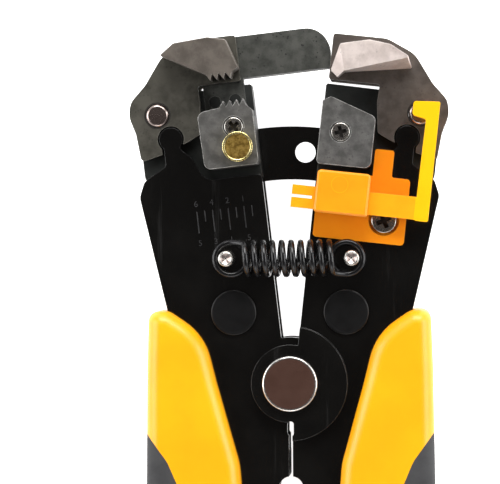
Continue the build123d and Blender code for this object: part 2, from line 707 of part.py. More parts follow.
# ---------------------------------------------------------------- grips
def grip_blank():
    """The whole grip as one rounded body, drawn on the right."""
    outline = [
        (25.2, 15.2, 3.0),
        (17.8, 10.2, 13.0),
        (15.4, 0.5, 10.0),
        (10.6, -16.8, 14.0),
        (9.3, -34.0, 12.0),
        (9.6, -50.0, 12.0),
        (6.6, -72.0, 25.0),
        (7.4, -112.0, 16.0),
        (12.5, -GRIP_END, 7.0),
        (26.5, -GRIP_END, 8.0),
        (GRIP_WIDTH - 2.0, -95.0, 30.0),
        (GRIP_WIDTH, -40.0, 30.0),
        (GRIP_WIDTH - 0.5, 3.0, 10.0),
        (GRIP_WIDTH - 0.9, 15.2, 2.2),
    ]
    body = slab(outline, 0, GRIP_THICK)
    ends = body.faces().filter_by(Axis.Z)
    return fillet(ends.edges(), GRIP_ROUND)


def insert_region():
    """Where the rubber insert takes over from the hard grip, drawn on the right."""
    outline = [
        (GRIP_WIDTH + 8.0, 0.5, 0),
        (32.5, -6.5, 4.0),
        (25.5, -16.0, 8.0),
        (19.5, -30.0, 20.0),
        (16.0, -60.0, 30.0),
        (16.5, -104.0, 12.0),
        (24.0, -121.0, 8.0),
        (GRIP_WIDTH + 8.0, -122.0, 0),
    ]
    return slab(outline, -1.0, GRIP_THICK + 1.0)


def tang_space():
    """What the plates and the rivet collars take up inside a grip, drawn on the right."""
    space = plate_lower(REAR_LOW, REAR_TOP) + plate_lower(FRONT_LOW, FRONT_TOP)
    space = space + Rot(0, 0, -HEAD_LEAN) * plate_upper(REAR_LOW, REAR_TOP, False)
    space = space + Rot(0, 0, -HEAD_LEAN) * plate_upper(FRONT_LOW, FRONT_TOP, True)
    for x, y in TANG_RIVETS:
        space = space + disc(x, y, TANG_RIVET_R + 1.5, REAR_LOW, FRONT_TOP)
    return space


def grip(side):
    """The hard yellow grip."""
    return on_side(grip_blank() - insert_region() - tang_space(), side)


def grip_insert(side):
    """The rubber insert on the outer side of a grip."""
    return on_side((grip_blank() & insert_region()) - tang_space(), side)


NODES = {
    "left_plate_front": left_plate(FRONT_LOW, FRONT_TOP, True),
    "left_plate_rear": left_plate(REAR_LOW, REAR_TOP, False),
    "right_plate_front": right_plate(FRONT_LOW, FRONT_TOP, True),
    "right_plate_rear": right_plate(REAR_LOW, REAR_TOP, False),
    "pivot_rivet": pivot_rivet(),
    "pivot_spacer": pivot_spacer(),
    "left_tang_rivets": tang_rivets(LEFT),
    "right_tang_rivets": tang_rivets(RIGHT),
    "left_crimp_die": crimp_die(LEFT),
    "right_crimp_die": crimp_die(RIGHT),
    "left_arm": arm(LEFT),
    "right_arm": arm(RIGHT),
    "left_upper_jaw": upper_jaw(LEFT),
    "right_upper_jaw": upper_jaw(RIGHT),
    "gripping_nose": gripping_nose(),
    "blade_nose": blade_nose(),
    "gripping_block": gripping_block(),
    "blade_block": blade_block(),
    "gripping_block_screw": block_screw(LEFT),
    "blade_block_screw": block_screw(RIGHT),
    "adjuster_knob": adjuster_knob(),
    "left_jaw_rivet": jaw_rivet(LEFT),
    "right_jaw_rivet": jaw_rivet(RIGHT),
    "left_arm_pin": arm_pin(LEFT),
    "right_arm_pin": arm_pin(RIGHT),
    "bridge_bar": bridge_bar(),
    "bridge_rivets": bridge_rivets(),
    "guide_bar": guide_bar(),
    "guide_rivets": guide_rivets(),
    "left_spring_pin": spring_pin(LEFT),
    "right_spring_pin": spring_pin(RIGHT),
    "return_spring": return_spring(),
    "stop_holder": stop_holder(),
    "holder_screw": holder_screw(),
    "stop_slider": stop_slider(),
    "left_grip": grip(LEFT),
    "right_grip": grip(RIGHT),
    "left_grip_insert": grip_insert(LEFT),
    "right_grip_insert": grip_insert(RIGHT),
}

os.makedirs("parts", exist_ok=True)
for name, shape in NODES.items():
    export_step(shape, f"parts/{name}.step")
    print(name, round(shape.volume, 1))
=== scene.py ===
"""Looks of a self-adjusting wire stripper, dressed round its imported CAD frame.

Everything is in metres and in the frame's own axes: +X right, +Y towards the jaws, +Z out of the
front of the tool. The tool lies on its back, with the main pivot's axis through the origin.
"""
import json
import logging
import math
from dataclasses import dataclass, field
from enum import Enum
from typing import Callable

import bmesh
import bpy
from mathutils import Matrix, Vector


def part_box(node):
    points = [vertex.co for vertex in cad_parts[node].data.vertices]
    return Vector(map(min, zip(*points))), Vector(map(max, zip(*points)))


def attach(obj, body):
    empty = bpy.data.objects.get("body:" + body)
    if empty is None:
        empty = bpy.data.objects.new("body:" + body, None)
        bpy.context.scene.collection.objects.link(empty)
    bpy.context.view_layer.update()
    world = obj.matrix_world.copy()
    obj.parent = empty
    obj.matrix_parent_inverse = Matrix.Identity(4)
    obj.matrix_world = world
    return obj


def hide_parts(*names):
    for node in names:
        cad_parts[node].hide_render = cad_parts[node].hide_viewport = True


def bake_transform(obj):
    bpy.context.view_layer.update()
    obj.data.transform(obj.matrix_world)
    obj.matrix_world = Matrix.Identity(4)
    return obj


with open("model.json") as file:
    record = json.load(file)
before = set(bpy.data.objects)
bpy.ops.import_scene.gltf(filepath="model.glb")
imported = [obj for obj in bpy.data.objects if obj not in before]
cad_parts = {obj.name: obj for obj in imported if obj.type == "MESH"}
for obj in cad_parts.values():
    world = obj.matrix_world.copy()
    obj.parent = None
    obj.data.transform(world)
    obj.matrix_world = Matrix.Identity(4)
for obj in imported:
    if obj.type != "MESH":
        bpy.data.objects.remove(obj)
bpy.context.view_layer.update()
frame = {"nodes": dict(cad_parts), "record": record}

MM = 0.001
HEAD_LEAN = math.radians(6.4)
SMOOTH_ANGLE = math.radians(50.0)
BODY_OF = {node: body for body, nodes in frame["record"]["behaviour"]["bodies"].items() for node in nodes}
log = logging.getLogger("stripper")

Colour = tuple[float, float, float]
Piece = bpy.types.Object


class Side(Enum):
    """The two halves of the tool."""

    LEFT = -1
    RIGHT = 1

    def node(self, name: str) -> str:
        """A node's name on this side, such as left_arm."""
        return f"{self.name.lower()}_{name}"


# ------------------------------------------------------------------ finishes
@dataclass(frozen=True)
class Finish:
    """One finish of the tool, as the values that its material is made with.

    Lengths are in millimetres; a scale is in features per metre.
    """

    name: str
    base: Colour
    tint: Colour
    metallic: float
    roughness: float
    swing: float = 0.1
    blotch: float = 160.0
    grain: float = 2500.0
    depth: float = 0.01
    edge: Colour = (0.6, 0.6, 0.6)
    wear: float = 0.0
    wear_width: float = 0.25
    pits: float = 0.0
    pit_colour: Colour = (0.02, 0.02, 0.02)
    coat: float = 0.0
    soft: float = 0.0
    specular: float = 0.5
    scratch: float = 0.0


class EffectGroups:
    """Shader node groups that more than one finish uses, each built once."""

    def __init__(self) -> None:
        """Builds every group."""
        self.grain = self._grain_group()
        self.wear = self._wear_group()
        self.pits = self._pit_group()
        self.scratch = self._scratch_group()

    @staticmethod
    def _new(name: str, inputs: dict[str, tuple[str, float]], outputs: list[str]) -> bpy.types.NodeTree:
        """An empty group with its sockets.

        Args:
            name: Name of the group.
            inputs: Socket name to (socket type, default value).
            outputs: Names of the value outputs.

        Returns:
            The new node tree.
        """
        tree = bpy.data.node_groups.new(name, "ShaderNodeTree")
        for label, (kind, value) in inputs.items():
            socket = tree.interface.new_socket(label, in_out="INPUT", socket_type=kind)
            if kind == "NodeSocketFloat":
                socket.default_value = value
        for label in outputs:
            tree.interface.new_socket(label, in_out="OUTPUT", socket_type="NodeSocketFloat")
        return tree

    @staticmethod
    def _noise(tree: bpy.types.NodeTree, vector: bpy.types.NodeSocket, detail: float,
               rough: float) -> bpy.types.Node:
        """A noise texture on a vector, with its scale left free."""
        node = tree.nodes.new("ShaderNodeTexNoise")
        node.inputs["Detail"].default_value = detail
        node.inputs["Roughness"].default_value = rough
        tree.links.new(vector, node.inputs["Vector"])
        return node

    @staticmethod
    def _math(tree: bpy.types.NodeTree, kind: str, first: object, second: object,
              clamp: bool = False) -> bpy.types.NodeSocket:
        """A math node on two sockets or numbers.

        Args:
            tree: Tree that the node goes into.
            kind: The node's operation.
            first: Socket or number.
            second: Socket or number.
            clamp: Whether the result stays from 0 to 1.

        Returns:
            The node's output socket.
        """
        node = tree.nodes.new("ShaderNodeMath")
        node.operation = kind
        node.use_clamp = clamp
        for slot, value in ((0, first), (1, second)):
            if isinstance(value, (int, float)):
                node.inputs[slot].default_value = value
            else:
                tree.links.new(value, node.inputs[slot])
        return node.outputs[0]

    @staticmethod
    def _range(tree: bpy.types.NodeTree, value: bpy.types.NodeSocket, low: float,
               high: float) -> bpy.types.NodeSocket:
        """A smooth step of a value between two limits."""
        node = tree.nodes.new("ShaderNodeMapRange")
        node.interpolation_type = "SMOOTHSTEP"
        node.inputs["From Min"].default_value = low
        node.inputs["From Max"].default_value = high
        tree.links.new(value, node.inputs["Value"])
        return node.outputs["Result"]

    def _grain_group(self) -> bpy.types.NodeTree:
        """Slow blotches and fine grain on the object's own coordinates."""
        tree = self._new(
            "surface_grain",
            {"Vector": ("NodeSocketVector", 0.0), "Blotch Scale": ("NodeSocketFloat", 160.0),
             "Grain Scale": ("NodeSocketFloat", 2500.0)},
            ["Tone", "Grain"],
        )
        start, end = tree.nodes.new("NodeGroupInput"), tree.nodes.new("NodeGroupOutput")
        slow = self._noise(tree, start.outputs["Vector"], 4.0, 0.6)
        fine = self._noise(tree, start.outputs["Vector"], 3.0, 0.65)
        tree.links.new(start.outputs["Blotch Scale"], slow.inputs["Scale"])
        tree.links.new(start.outputs["Grain Scale"], fine.inputs["Scale"])
        tree.links.new(self._range(tree, slow.outputs["Fac"], 0.32, 0.68), end.inputs["Tone"])
        tree.links.new(fine.outputs["Fac"], end.inputs["Grain"])
        return tree

    def _wear_group(self) -> bpy.types.NodeTree:
        """A broken mask along sharp edges, where paint or scale is rubbed off."""
        tree = self._new(
            "edge_wear",
            {"Vector": ("NodeSocketVector", 0.0), "Width": ("NodeSocketFloat", 0.0003),
             "Amount": ("NodeSocketFloat", 0.5), "Scale": ("NodeSocketFloat", 900.0)},
            ["Mask"],
        )
        start, end = tree.nodes.new("NodeGroupInput"), tree.nodes.new("NodeGroupOutput")
        rounded = tree.nodes.new("ShaderNodeBevel")
        rounded.samples = 6
        tree.links.new(start.outputs["Width"], rounded.inputs["Radius"])
        geometry = tree.nodes.new("ShaderNodeNewGeometry")
        dot = tree.nodes.new("ShaderNodeVectorMath")
        dot.operation = "DOT_PRODUCT"
        tree.links.new(rounded.outputs["Normal"], dot.inputs[0])
        tree.links.new(geometry.outputs["Normal"], dot.inputs[1])
        turned = self._math(tree, "SUBTRACT", 1.0, dot.outputs["Value"])
        edge = self._range(tree, turned, 0.004, 0.09)
        chips = self._noise(tree, start.outputs["Vector"], 4.0, 0.7)
        tree.links.new(start.outputs["Scale"], chips.inputs["Scale"])
        broken = self._range(tree, chips.outputs["Fac"], 0.3, 0.62)
        worn = self._math(tree, "MULTIPLY", edge, broken)
        tree.links.new(self._math(tree, "MULTIPLY", worn, start.outputs["Amount"], clamp=True),
                       end.inputs["Mask"])
        return tree

    def _pit_group(self) -> bpy.types.NodeTree:
        """Scattered small specks, such as pits, dust or dark spots."""
        tree = self._new(
            "specks",
            {"Vector": ("NodeSocketVector", 0.0), "Scale": ("NodeSocketFloat", 1400.0),
             "Amount": ("NodeSocketFloat", 0.3)},
            ["Mask"],
        )
        start, end = tree.nodes.new("NodeGroupInput"), tree.nodes.new("NodeGroupOutput")
        cells = tree.nodes.new("ShaderNodeTexVoronoi")
        tree.links.new(start.outputs["Vector"], cells.inputs["Vector"])
        tree.links.new(start.outputs["Scale"], cells.inputs["Scale"])
        dot = self._range(tree, self._math(tree, "SUBTRACT", 0.32, cells.outputs["Distance"]), 0.0, 0.12)
        patch = self._noise(tree, start.outputs["Vector"], 2.0, 0.5)
        patch.inputs["Scale"].default_value = 420.0
        kept = self._math(tree, "MULTIPLY", dot, self._range(tree, patch.outputs["Fac"], 0.5, 0.66))
        tree.links.new(self._math(tree, "MULTIPLY", kept, start.outputs["Amount"], clamp=True),
                       end.inputs["Mask"])
        return tree

    def _scratch_group(self) -> bpy.types.NodeTree:
        """Fine handling scratches that run one way."""
        tree = self._new(
            "scratches",
            {"Vector": ("NodeSocketVector", 0.0), "Scale": ("NodeSocketFloat", 300.0),
             "Amount": ("NodeSocketFloat", 0.2)},
            ["Mask"],
        )
        start, end = tree.nodes.new("NodeGroupInput"), tree.nodes.new("NodeGroupOutput")
        mapping = tree.nodes.new("ShaderNodeMapping")
        mapping.inputs["Rotation"].default_value = (0.0, 0.0, 0.7)
        mapping.inputs["Scale"].default_value = (1.0, 0.05, 1.0)
        tree.links.new(start.outputs["Vector"], mapping.inputs["Vector"])
        lines = self._noise(tree, mapping.outputs["Vector"], 5.0, 0.75)
        tree.links.new(start.outputs["Scale"], lines.inputs["Scale"])
        ridge = self._range(tree, lines.outputs["Fac"], 0.6, 0.72)
        tree.links.new(self._math(tree, "MULTIPLY", ridge, start.outputs["Amount"], clamp=True),
                       end.inputs["Mask"])
        return tree


class FinishShop:
    """Makes each finish's material once and hands it out by name."""

    def __init__(self) -> None:
        """Starts with the shared effects and no materials."""
        self.effects = EffectGroups()
        self.made: dict[str, bpy.types.Material] = {}

    def get(self, finish: Finish) -> bpy.types.Material:
        """The material of a finish, built on first use."""
        if finish.name not in self.made:
            self.made[finish.name] = self._build(finish)
        return self.made[finish.name]

    @staticmethod
    def _mix(tree: bpy.types.NodeTree, mask: bpy.types.NodeSocket, first: object,
             second: object) -> bpy.types.NodeSocket:
        """A colour mix whose two sides are sockets or plain colours."""
        node = tree.nodes.new("ShaderNodeMix")
        node.data_type = "RGBA"
        tree.links.new(mask, node.inputs["Factor"])
        for slot, value in ((6, first), (7, second)):
            if isinstance(value, tuple):
                node.inputs[slot].default_value = (*value, 1.0)
            else:
                tree.links.new(value, node.inputs[slot])
        return node.outputs[2]

    def _effect(self, tree: bpy.types.NodeTree, group: bpy.types.NodeTree, vector: bpy.types.NodeSocket,
                values: dict[str, float]) -> bpy.types.Node:
        """Places a shared effect in a material.

        Args:
            tree: The material's node tree.
            group: The shared group.
            vector: Coordinates that the effect reads.
            values: The group's own input values.

        Returns:
            The group node.
        """
        node = tree.nodes.new("ShaderNodeGroup")
        node.node_tree = group
        tree.links.new(vector, node.inputs["Vector"])
        for label, value in values.items():
            node.inputs[label].default_value = value
        return node

    def _build(self, finish: Finish) -> bpy.types.Material:
        """The node material of a finish."""
        material = bpy.data.materials.new(finish.name)
        material.use_nodes = True
        tree = material.node_tree
        shader = tree.nodes["Principled BSDF"]
        where = tree.nodes.new("ShaderNodeTexCoord").outputs["Object"]
        grain = self._effect(tree, self.effects.grain, where,
                             {"Blotch Scale": finish.blotch, "Grain Scale": finish.grain})
        colour = self._mix(tree, grain.outputs["Tone"], finish.base, finish.tint)
        if finish.pits:
            pits = self._effect(tree, self.effects.pits, where, {"Amount": finish.pits})
            colour = self._mix(tree, pits.outputs["Mask"], colour, finish.pit_colour)
        if finish.scratch:
            lines = self._effect(tree, self.effects.scratch, where, {"Amount": finish.scratch})
            colour = self._mix(tree, lines.outputs["Mask"], colour, finish.edge)
        if finish.wear:
            worn = self._effect(tree, self.effects.wear, where,
                                {"Width": finish.wear_width * MM, "Amount": finish.wear})
            colour = self._mix(tree, worn.outputs["Mask"], colour, finish.edge)
        tree.links.new(colour, shader.inputs["Base Color"])
        rough = tree.nodes.new("ShaderNodeMapRange")
        rough.inputs["To Min"].default_value = max(0.02, finish.roughness - finish.swing)
        rough.inputs["To Max"].default_value = min(1.0, finish.roughness + finish.swing)
        tree.links.new(grain.outputs["Grain"], rough.inputs["Value"])
        tree.links.new(rough.outputs["Result"], shader.inputs["Roughness"])
        bump = tree.nodes.new("ShaderNodeBump")
        bump.inputs["Strength"].default_value = 1.0
        bump.inputs["Distance"].default_value = finish.depth * MM
        tree.links.new(grain.outputs["Grain"], bump.inputs["Height"])
        tree.links.new(bump.outputs["Normal"], shader.inputs["Normal"])
        shader.inputs["Metallic"].default_value = finish.metallic
        shader.inputs["Coat Weight"].default_value = finish.coat
        shader.inputs["Coat Roughness"].default_value = 0.12
        shader.inputs["Specular IOR Level"].default_value = finish.specular
        shader.inputs["Subsurface Weight"].default_value = finish.soft
        shader.inputs["Subsurface Radius"].default_value = (1.5 * MM, 1.0 * MM, 0.4 * MM)
        shader.inputs["Subsurface Scale"].default_value = 1.0
        return material


BLACK_PAINT = Finish("black_gloss_paint", (0.0022, 0.0022, 0.0021), (0.0042, 0.0041, 0.0038), 0.0, 0.18,
                     swing=0.07, blotch=90.0, grain=1500.0, depth=0.004, edge=(0.10, 0.10, 0.10), wear=0.45,
                     wear_width=0.2, coat=0.25, scratch=0.10)
ARM_STEEL = Finish("charcoal_arm_steel", (0.016, 0.018, 0.017), (0.028, 0.030, 0.028), 0.4, 0.42,
                   blotch=220.0, depth=0.012, edge=(0.16, 0.16, 0.15), wear=0.5)
LEFT_JAW_STEEL = Finish("green_grey_jaw_steel", (0.052, 0.049, 0.040), (0.098, 0.093, 0.077), 0.6, 0.46,
                        blotch=260.0, grain=3200.0, depth=0.018, edge=(0.36, 0.35, 0.31), wear=0.55,
                        pits=0.35)
RIGHT_JAW_STEEL = Finish("brown_grey_jaw_steel", (0.078, 0.066, 0.058), (0.135, 0.115, 0.103), 0.6, 0.42,
                         blotch=240.0, grain=3200.0, depth=0.016, edge=(0.40, 0.38, 0.35), wear=0.55,
                         pits=0.3)
BRIDGE_STEEL = Finish("dark_bridge_steel", (0.046, 0.048, 0.043), (0.092, 0.094, 0.085), 0.55, 0.5,
                      blotch=330.0, grain=2600.0, depth=0.03, edge=(0.32, 0.32, 0.30), wear=0.5, pits=0.7,
                      pit_colour=(0.01, 0.01, 0.012))
LEFT_NOSE_STEEL = Finish("blasted_nose_steel", (0.100, 0.086, 0.074), (0.160, 0.139, 0.120), 0.65, 0.48,
                         blotch=300.0, grain=4200.0, depth=0.03, edge=(0.75, 0.72, 0.68), wear=0.85,
                         wear_width=0.22)
RIGHT_NOSE_STEEL = Finish("ground_nose_steel", (0.62, 0.53, 0.495), (0.82, 0.72, 0.68), 0.55, 0.42,
                          blotch=320.0, grain=4200.0, depth=0.02, edge=(0.9, 0.88, 0.86), wear=0.6,
                          pits=0.4, pit_colour=(0.2, 0.16, 0.14))
BLOCK_STEEL = Finish("blasted_block_steel", (0.070, 0.068, 0.065), (0.130, 0.127, 0.122), 0.6, 0.5,
                     blotch=420.0, grain=4200.0, depth=0.05, edge=(0.66, 0.65, 0.63), wear=1.0,
                     wear_width=0.24, pits=0.45)
SCREW_STEEL = Finish("bright_screw_steel", (0.44, 0.42, 0.39), (0.60, 0.58, 0.54), 1.0, 0.26,
                     blotch=500.0, grain=5000.0, depth=0.006, edge=(0.85, 0.84, 0.82), wear=0.5,
                     wear_width=0.12)
# Painted shade: a near-black colour put on screw recesses, bore walls and the gap round the jaw rivets,
# standing in for the shade that falls there.
RECESS_PAINTED_SHADE = Finish("oily_recess", (0.016, 0.014, 0.012), (0.035, 0.03, 0.026), 0.3, 0.5, blotch=900.0)
# Painted shade: a dark red-brown put on the bore walls round the orange holder's screw, standing in for the
# shade in that recess.
HOLDER_RECESS_PAINTED_SHADE = Finish("red_brown_recess", (0.085, 0.022, 0.006), (0.13, 0.036, 0.010), 0.0, 0.5, blotch=700.0)
RIVET_STEEL = Finish("rose_rivet_steel", (0.36, 0.29, 0.27), (0.48, 0.40, 0.37), 1.0, 0.24,
                     blotch=420.0, grain=3800.0, depth=0.008, edge=(0.85, 0.82, 0.8), wear=0.3,
                     wear_width=0.15)
PIVOT_RIM = Finish("pivot_chamfer_steel", (0.80, 0.78, 0.75), (0.88, 0.86, 0.83), 1.0, 0.26, grain=3000.0,
                   depth=0.003)
# Partly painted reflection: the face's rose tint is the plating, and its darkness stands in for the dim room
# reflected in the polished face.
PIVOT_FACE_PAINTED_REFLECTION = Finish("dark_rose_pivot_face", (0.165, 0.085, 0.064), (0.205, 0.110, 0.085), 0.75, 0.22,
                    swing=0.06, blotch=260.0, grain=2200.0, depth=0.004)
PIN_BLACK = Finish("satin_black_disc", (0.0030, 0.0030, 0.0032), (0.0055, 0.0055, 0.0058), 0.0, 0.34,
                   blotch=300.0, grain=2600.0, depth=0.006, edge=(0.30, 0.30, 0.30), wear=0.8,
                   wear_width=0.2, specular=0.3)
SPRING_BLACK = Finish("oiled_spring_wire", (0.008, 0.008, 0.009), (0.012, 0.012, 0.013), 0.5, 0.26,
                      swing=0.06, grain=3500.0, depth=0.004, coat=0.3)
BRASS_RIM = Finish("bright_brass", (0.86, 0.70, 0.26), (0.95, 0.82, 0.42), 1.0, 0.26, blotch=700.0,
                   depth=0.006)
BRASS_FACE = Finish("speckled_brass", (0.20, 0.115, 0.022), (0.52, 0.345, 0.085), 0.85, 0.36,
                    blotch=1100.0, grain=4200.0, depth=0.05, pits=0.9, pit_colour=(0.10, 0.055, 0.012))
HOLDER_PLASTIC = Finish("orange_moulding", (0.90, 0.27, 0.004), (0.94, 0.31, 0.005), 0.0, 0.32,
                        swing=0.05, blotch=120.0, grain=1800.0, depth=0.003, soft=0.12, coat=0.15)
ROD_PLASTIC = Finish("amber_moulding", (0.94, 0.325, 0.005), (0.98, 0.37, 0.007), 0.0, 0.3,
                     swing=0.05, blotch=120.0, grain=1800.0, depth=0.003, soft=0.12, coat=0.15)
# Painted light: a lighter, yellower copy of the stop's moulding, for the upright that the light falls on more
# brightly than the rod.
SLIDER_PAINTED_LIGHT_PLASTIC = Finish("yellow_moulding", (0.95, 0.445, 0.002), (0.97, 0.48, 0.003), 0.0, 0.3,
                        swing=0.05, blotch=120.0, grain=1800.0, depth=0.003, soft=0.12, coat=0.15)
GRIP_PLASTIC = Finish("yellow_grip_moulding", (0.95, 0.385, 0.002), (0.97, 0.435, 0.003), 0.0, 0.36,
                      swing=0.05, blotch=60.0, grain=1600.0, depth=0.004, soft=0.1, coat=0.1)
GRIP_RUBBER = Finish("grey_grip_rubber", (0.035, 0.035, 0.037), (0.05, 0.05, 0.052), 0.0, 0.72,
                     swing=0.08, blotch=200.0, grain=2400.0, depth=0.02, specular=0.35)
GAUGE_PAINT = Finish("faint_gauge_paint", (0.010, 0.010, 0.011), (0.030, 0.030, 0.031), 0.0, 0.45,
                     blotch=900.0, depth=0.004)


# ------------------------------------------------------------------ hand tools
class Bench:
    """Hand tools that every sub-assembly uses."""

    @staticmethod
    def pick(piece: Piece) -> None:
        """Makes a piece the only selected one."""
        bpy.ops.object.select_all(action="DESELECT")
        piece.select_set(True)
        bpy.context.view_layer.objects.active = piece

    @staticmethod
    def named(name: str) -> Piece:
        """The piece just added, under its own name, with its place in its mesh."""
        piece = bpy.context.object
        piece.name = name
        piece.data.name = name
        Bench.pick(piece)
        bpy.ops.object.transform_apply(location=True, rotation=True, scale=True)
        return piece

    @staticmethod
    def edit_faces(piece: Piece, wanted: Callable[[Vector, Vector], bool]) -> None:
        """Opens a piece for editing with the wanted faces selected.

        Args:
            piece: The piece to edit.
            wanted: Test on a face's centre and normal.
        """
        if piece.mode != "EDIT":
            Bench.pick(piece)
            bpy.ops.object.mode_set(mode="EDIT")
        bpy.ops.mesh.select_mode(type="FACE")
        bpy.ops.mesh.select_all(action="DESELECT")
        mesh = bmesh.from_edit_mesh(piece.data)
        for face in mesh.faces:
            face.select_set(wanted(face.calc_center_median(), face.normal))
        bmesh.update_edit_mesh(piece.data)

    @staticmethod
    def edit_edges(piece: Piece, wanted: Callable[[Vector, Vector], bool]) -> None:
        """Opens a piece for editing with the wanted edges selected, by their two ends."""
        if piece.mode != "EDIT":
            Bench.pick(piece)
            bpy.ops.object.mode_set(mode="EDIT")
        bpy.ops.mesh.select_mode(type="EDGE")
        bpy.ops.mesh.select_all(action="DESELECT")
        mesh = bmesh.from_edit_mesh(piece.data)
        for edge in mesh.edges:
            edge.select_set(wanted(edge.verts[0].co, edge.verts[1].co))
        bmesh.update_edit_mesh(piece.data)

    @staticmethod
    def done() -> None:
        """Leaves edit mode."""
        bpy.ops.object.mode_set(mode="OBJECT")

    @staticmethod
    def modify(piece: Piece, kind: str, **settings: object) -> None:
        """Adds a modifier with its settings and applies it."""
        Bench.pick(piece)
        modifier = piece.modifiers.new(kind.lower(), kind)
        for key, value in settings.items():
            setattr(modifier, key, value)
        bpy.ops.object.modifier_apply(modifier=modifier.name)

    @staticmethod
    def smooth(piece: Piece) -> None:
        """Smooth shading that keeps large flats flat."""
        Bench.pick(piece)
        bpy.ops.object.shade_smooth_by_angle(angle=SMOOTH_ANGLE)
        Bench.modify(piece, "WEIGHTED_NORMAL", keep_sharp=True)

    @staticmethod
    def paint(piece: Piece, *materials: bpy.types.Material) -> None:
        """Puts materials in a piece's slots, in order."""
        piece.data.materials.clear()
        for material in materials:
            piece.data.materials.append(material)

    @staticmethod
    def paint_faces(piece: Piece, slot: int, wanted: Callable[[Vector, Vector], bool]) -> None:
        """Gives some faces another of the piece's materials."""
        Bench.edit_faces(piece, wanted)
        piece.active_material_index = slot
        bpy.ops.object.material_slot_assign()
        Bench.done()

    @staticmethod
    def split(piece: Piece, start: tuple[float, float], end: tuple[float, float]) -> None:
        """Cuts new edges into a right head's piece along an upright plane.

        Args:
            piece: The piece to cut.
            start: One place on the plane, outwards and upwards in the head, in millimetres.
            end: Another place on it.
        """
        first = Vector((*head_place(start[0], start[1], Side.RIGHT), 0))
        second = Vector((*head_place(end[0], end[1], Side.RIGHT), 0))
        Bench.pick(piece)
        bpy.ops.object.mode_set(mode="EDIT")
        bpy.ops.mesh.select_all(action="SELECT")
        bpy.ops.mesh.bisect(plane_co=first, plane_no=(second - first).cross(Vector((0, 0, 1))).normalized())
        Bench.done()

    @staticmethod
    def paint_bore_shade(piece: Piece, slot: int, seat: "Seat", radius: float) -> None:
        """Gives the walls of a screw's bore another of the piece's materials, a dark painted shade.

        Args:
            piece: The piece with the bore.
            slot: Slot of the dark material that paints the bore's shade.
            seat: Where the screw stands.
            radius: Reach round the screw's axis, in millimetres.
        """

        def is_wall(centre: Vector, normal: Vector) -> bool:
            """Whether a face is an upright wall close to the screw's axis."""
            reach = (centre.x - seat.x) ** 2 + (centre.y - seat.y) ** 2
            return abs(normal.z) < 0.5 and reach < (radius * MM) ** 2

        Bench.paint_faces(piece, slot, is_wall)

    @staticmethod
    def carve(node: str, name: str, break_edge: float, shape: Callable[[Piece], None] | None = None) -> Piece:
        """A working copy of a CAD node's mesh, with its sharp edges broken.

        Args:
            node: The CAD node.
            name: Name of the new piece.
            break_edge: Width of the broken edge, in millimetres.
            shape: Extra shaping that comes before the edges are broken.

        Returns:
            The new piece, merged, bevelled and smooth.
        """
        mesh = frame["nodes"][node].data.copy()
        mesh.name = name
        mesh.materials.clear()
        piece = bpy.data.objects.new(name, mesh)
        bpy.context.scene.collection.objects.link(piece)
        Bench.pick(piece)
        bpy.ops.mesh.customdata_custom_splitnormals_clear()
        bpy.ops.object.mode_set(mode="EDIT")
        bpy.ops.mesh.select_all(action="SELECT")
        bpy.ops.mesh.remove_doubles(threshold=0.002 * MM)
        bpy.ops.mesh.dissolve_limited(angle_limit=math.radians(0.3))
        Bench.done()
        if shape:
            shape(piece)
        if break_edge:
            Bench.modify(piece, "BEVEL", width=break_edge * MM, segments=2, limit_method="ANGLE",
                         angle_limit=math.radians(40.0), use_clamp_overlap=True)
        Bench.smooth(piece)
        return piece

    @staticmethod
    def cylinder(name: str, x: float, y: float, low: float, high: float, radius: float,
                 sides: int = 48) -> Piece:
        """A round blank standing on Z, in metres."""
        bpy.ops.object.select_all(action="DESELECT")
        bpy.ops.mesh.primitive_cylinder_add(vertices=sides, radius=radius, depth=high - low,
                                            location=(x, y, (low + high) / 2))
        return Bench.named(name)

    @staticmethod
    def round_rim(piece: Piece, height: float, width: float, segments: int) -> None:
        """Bevels the outer rim of a round blank at one height."""
        Bench.edit_edges(piece, lambda a, b: abs(a.z - height) < 1e-6 and abs(b.z - height) < 1e-6)
        bpy.ops.mesh.bevel(offset=width, segments=segments, affect="EDGES")
        Bench.done()

    @staticmethod
    def combine(pieces: list[Piece], name: str) -> Piece:
        """Joins pieces into the first of them."""
        bpy.ops.object.select_all(action="DESELECT")
        for piece in pieces:
            piece.select_set(True)
        bpy.context.view_layer.objects.active = pieces[0]
        if len(pieces) > 1:
            bpy.ops.object.join()
        joined = bpy.context.view_layer.objects.active
        joined.name = name
        joined.data.name = name
        return joined

    @staticmethod
    def cut(piece: Piece, cutter: Piece) -> None:
        """Takes a cutter's shape out of a piece and throws the cutter away."""
        Bench.modify(piece, "BOOLEAN", operation="DIFFERENCE", solver="EXACT", object=cutter)
        bpy.data.objects.remove(cutter)

    @staticmethod
    def fit(piece: Piece, *nodes: str, stands_for: bool = True) -> Piece:
        """Rides a piece on the body of its CAD node.

        Args:
            piece: The finished piece.
            nodes: CAD nodes that it belongs with; the first one sets the body.
            stands_for: Whether the piece replaces those nodes.

        Returns:
            The same piece.
        """
        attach(piece, BODY_OF[nodes[0]])
        if stands_for:
            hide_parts(*nodes)
        log.info("%s: %d faces on %s", piece.name, len(piece.data.polygons), BODY_OF[nodes[0]])
        return piece

    @staticmethod
    def on_cad(node: str, material: bpy.types.Material) -> None:
        """Gives a CAD node that stays its material."""
        shown = frame["nodes"][node]
        if not shown.material_slots:
            shown.data.materials.append(material)
        for slot in shown.material_slots:
            slot.material = material
        log.info("%s: CAD shape kept", node)


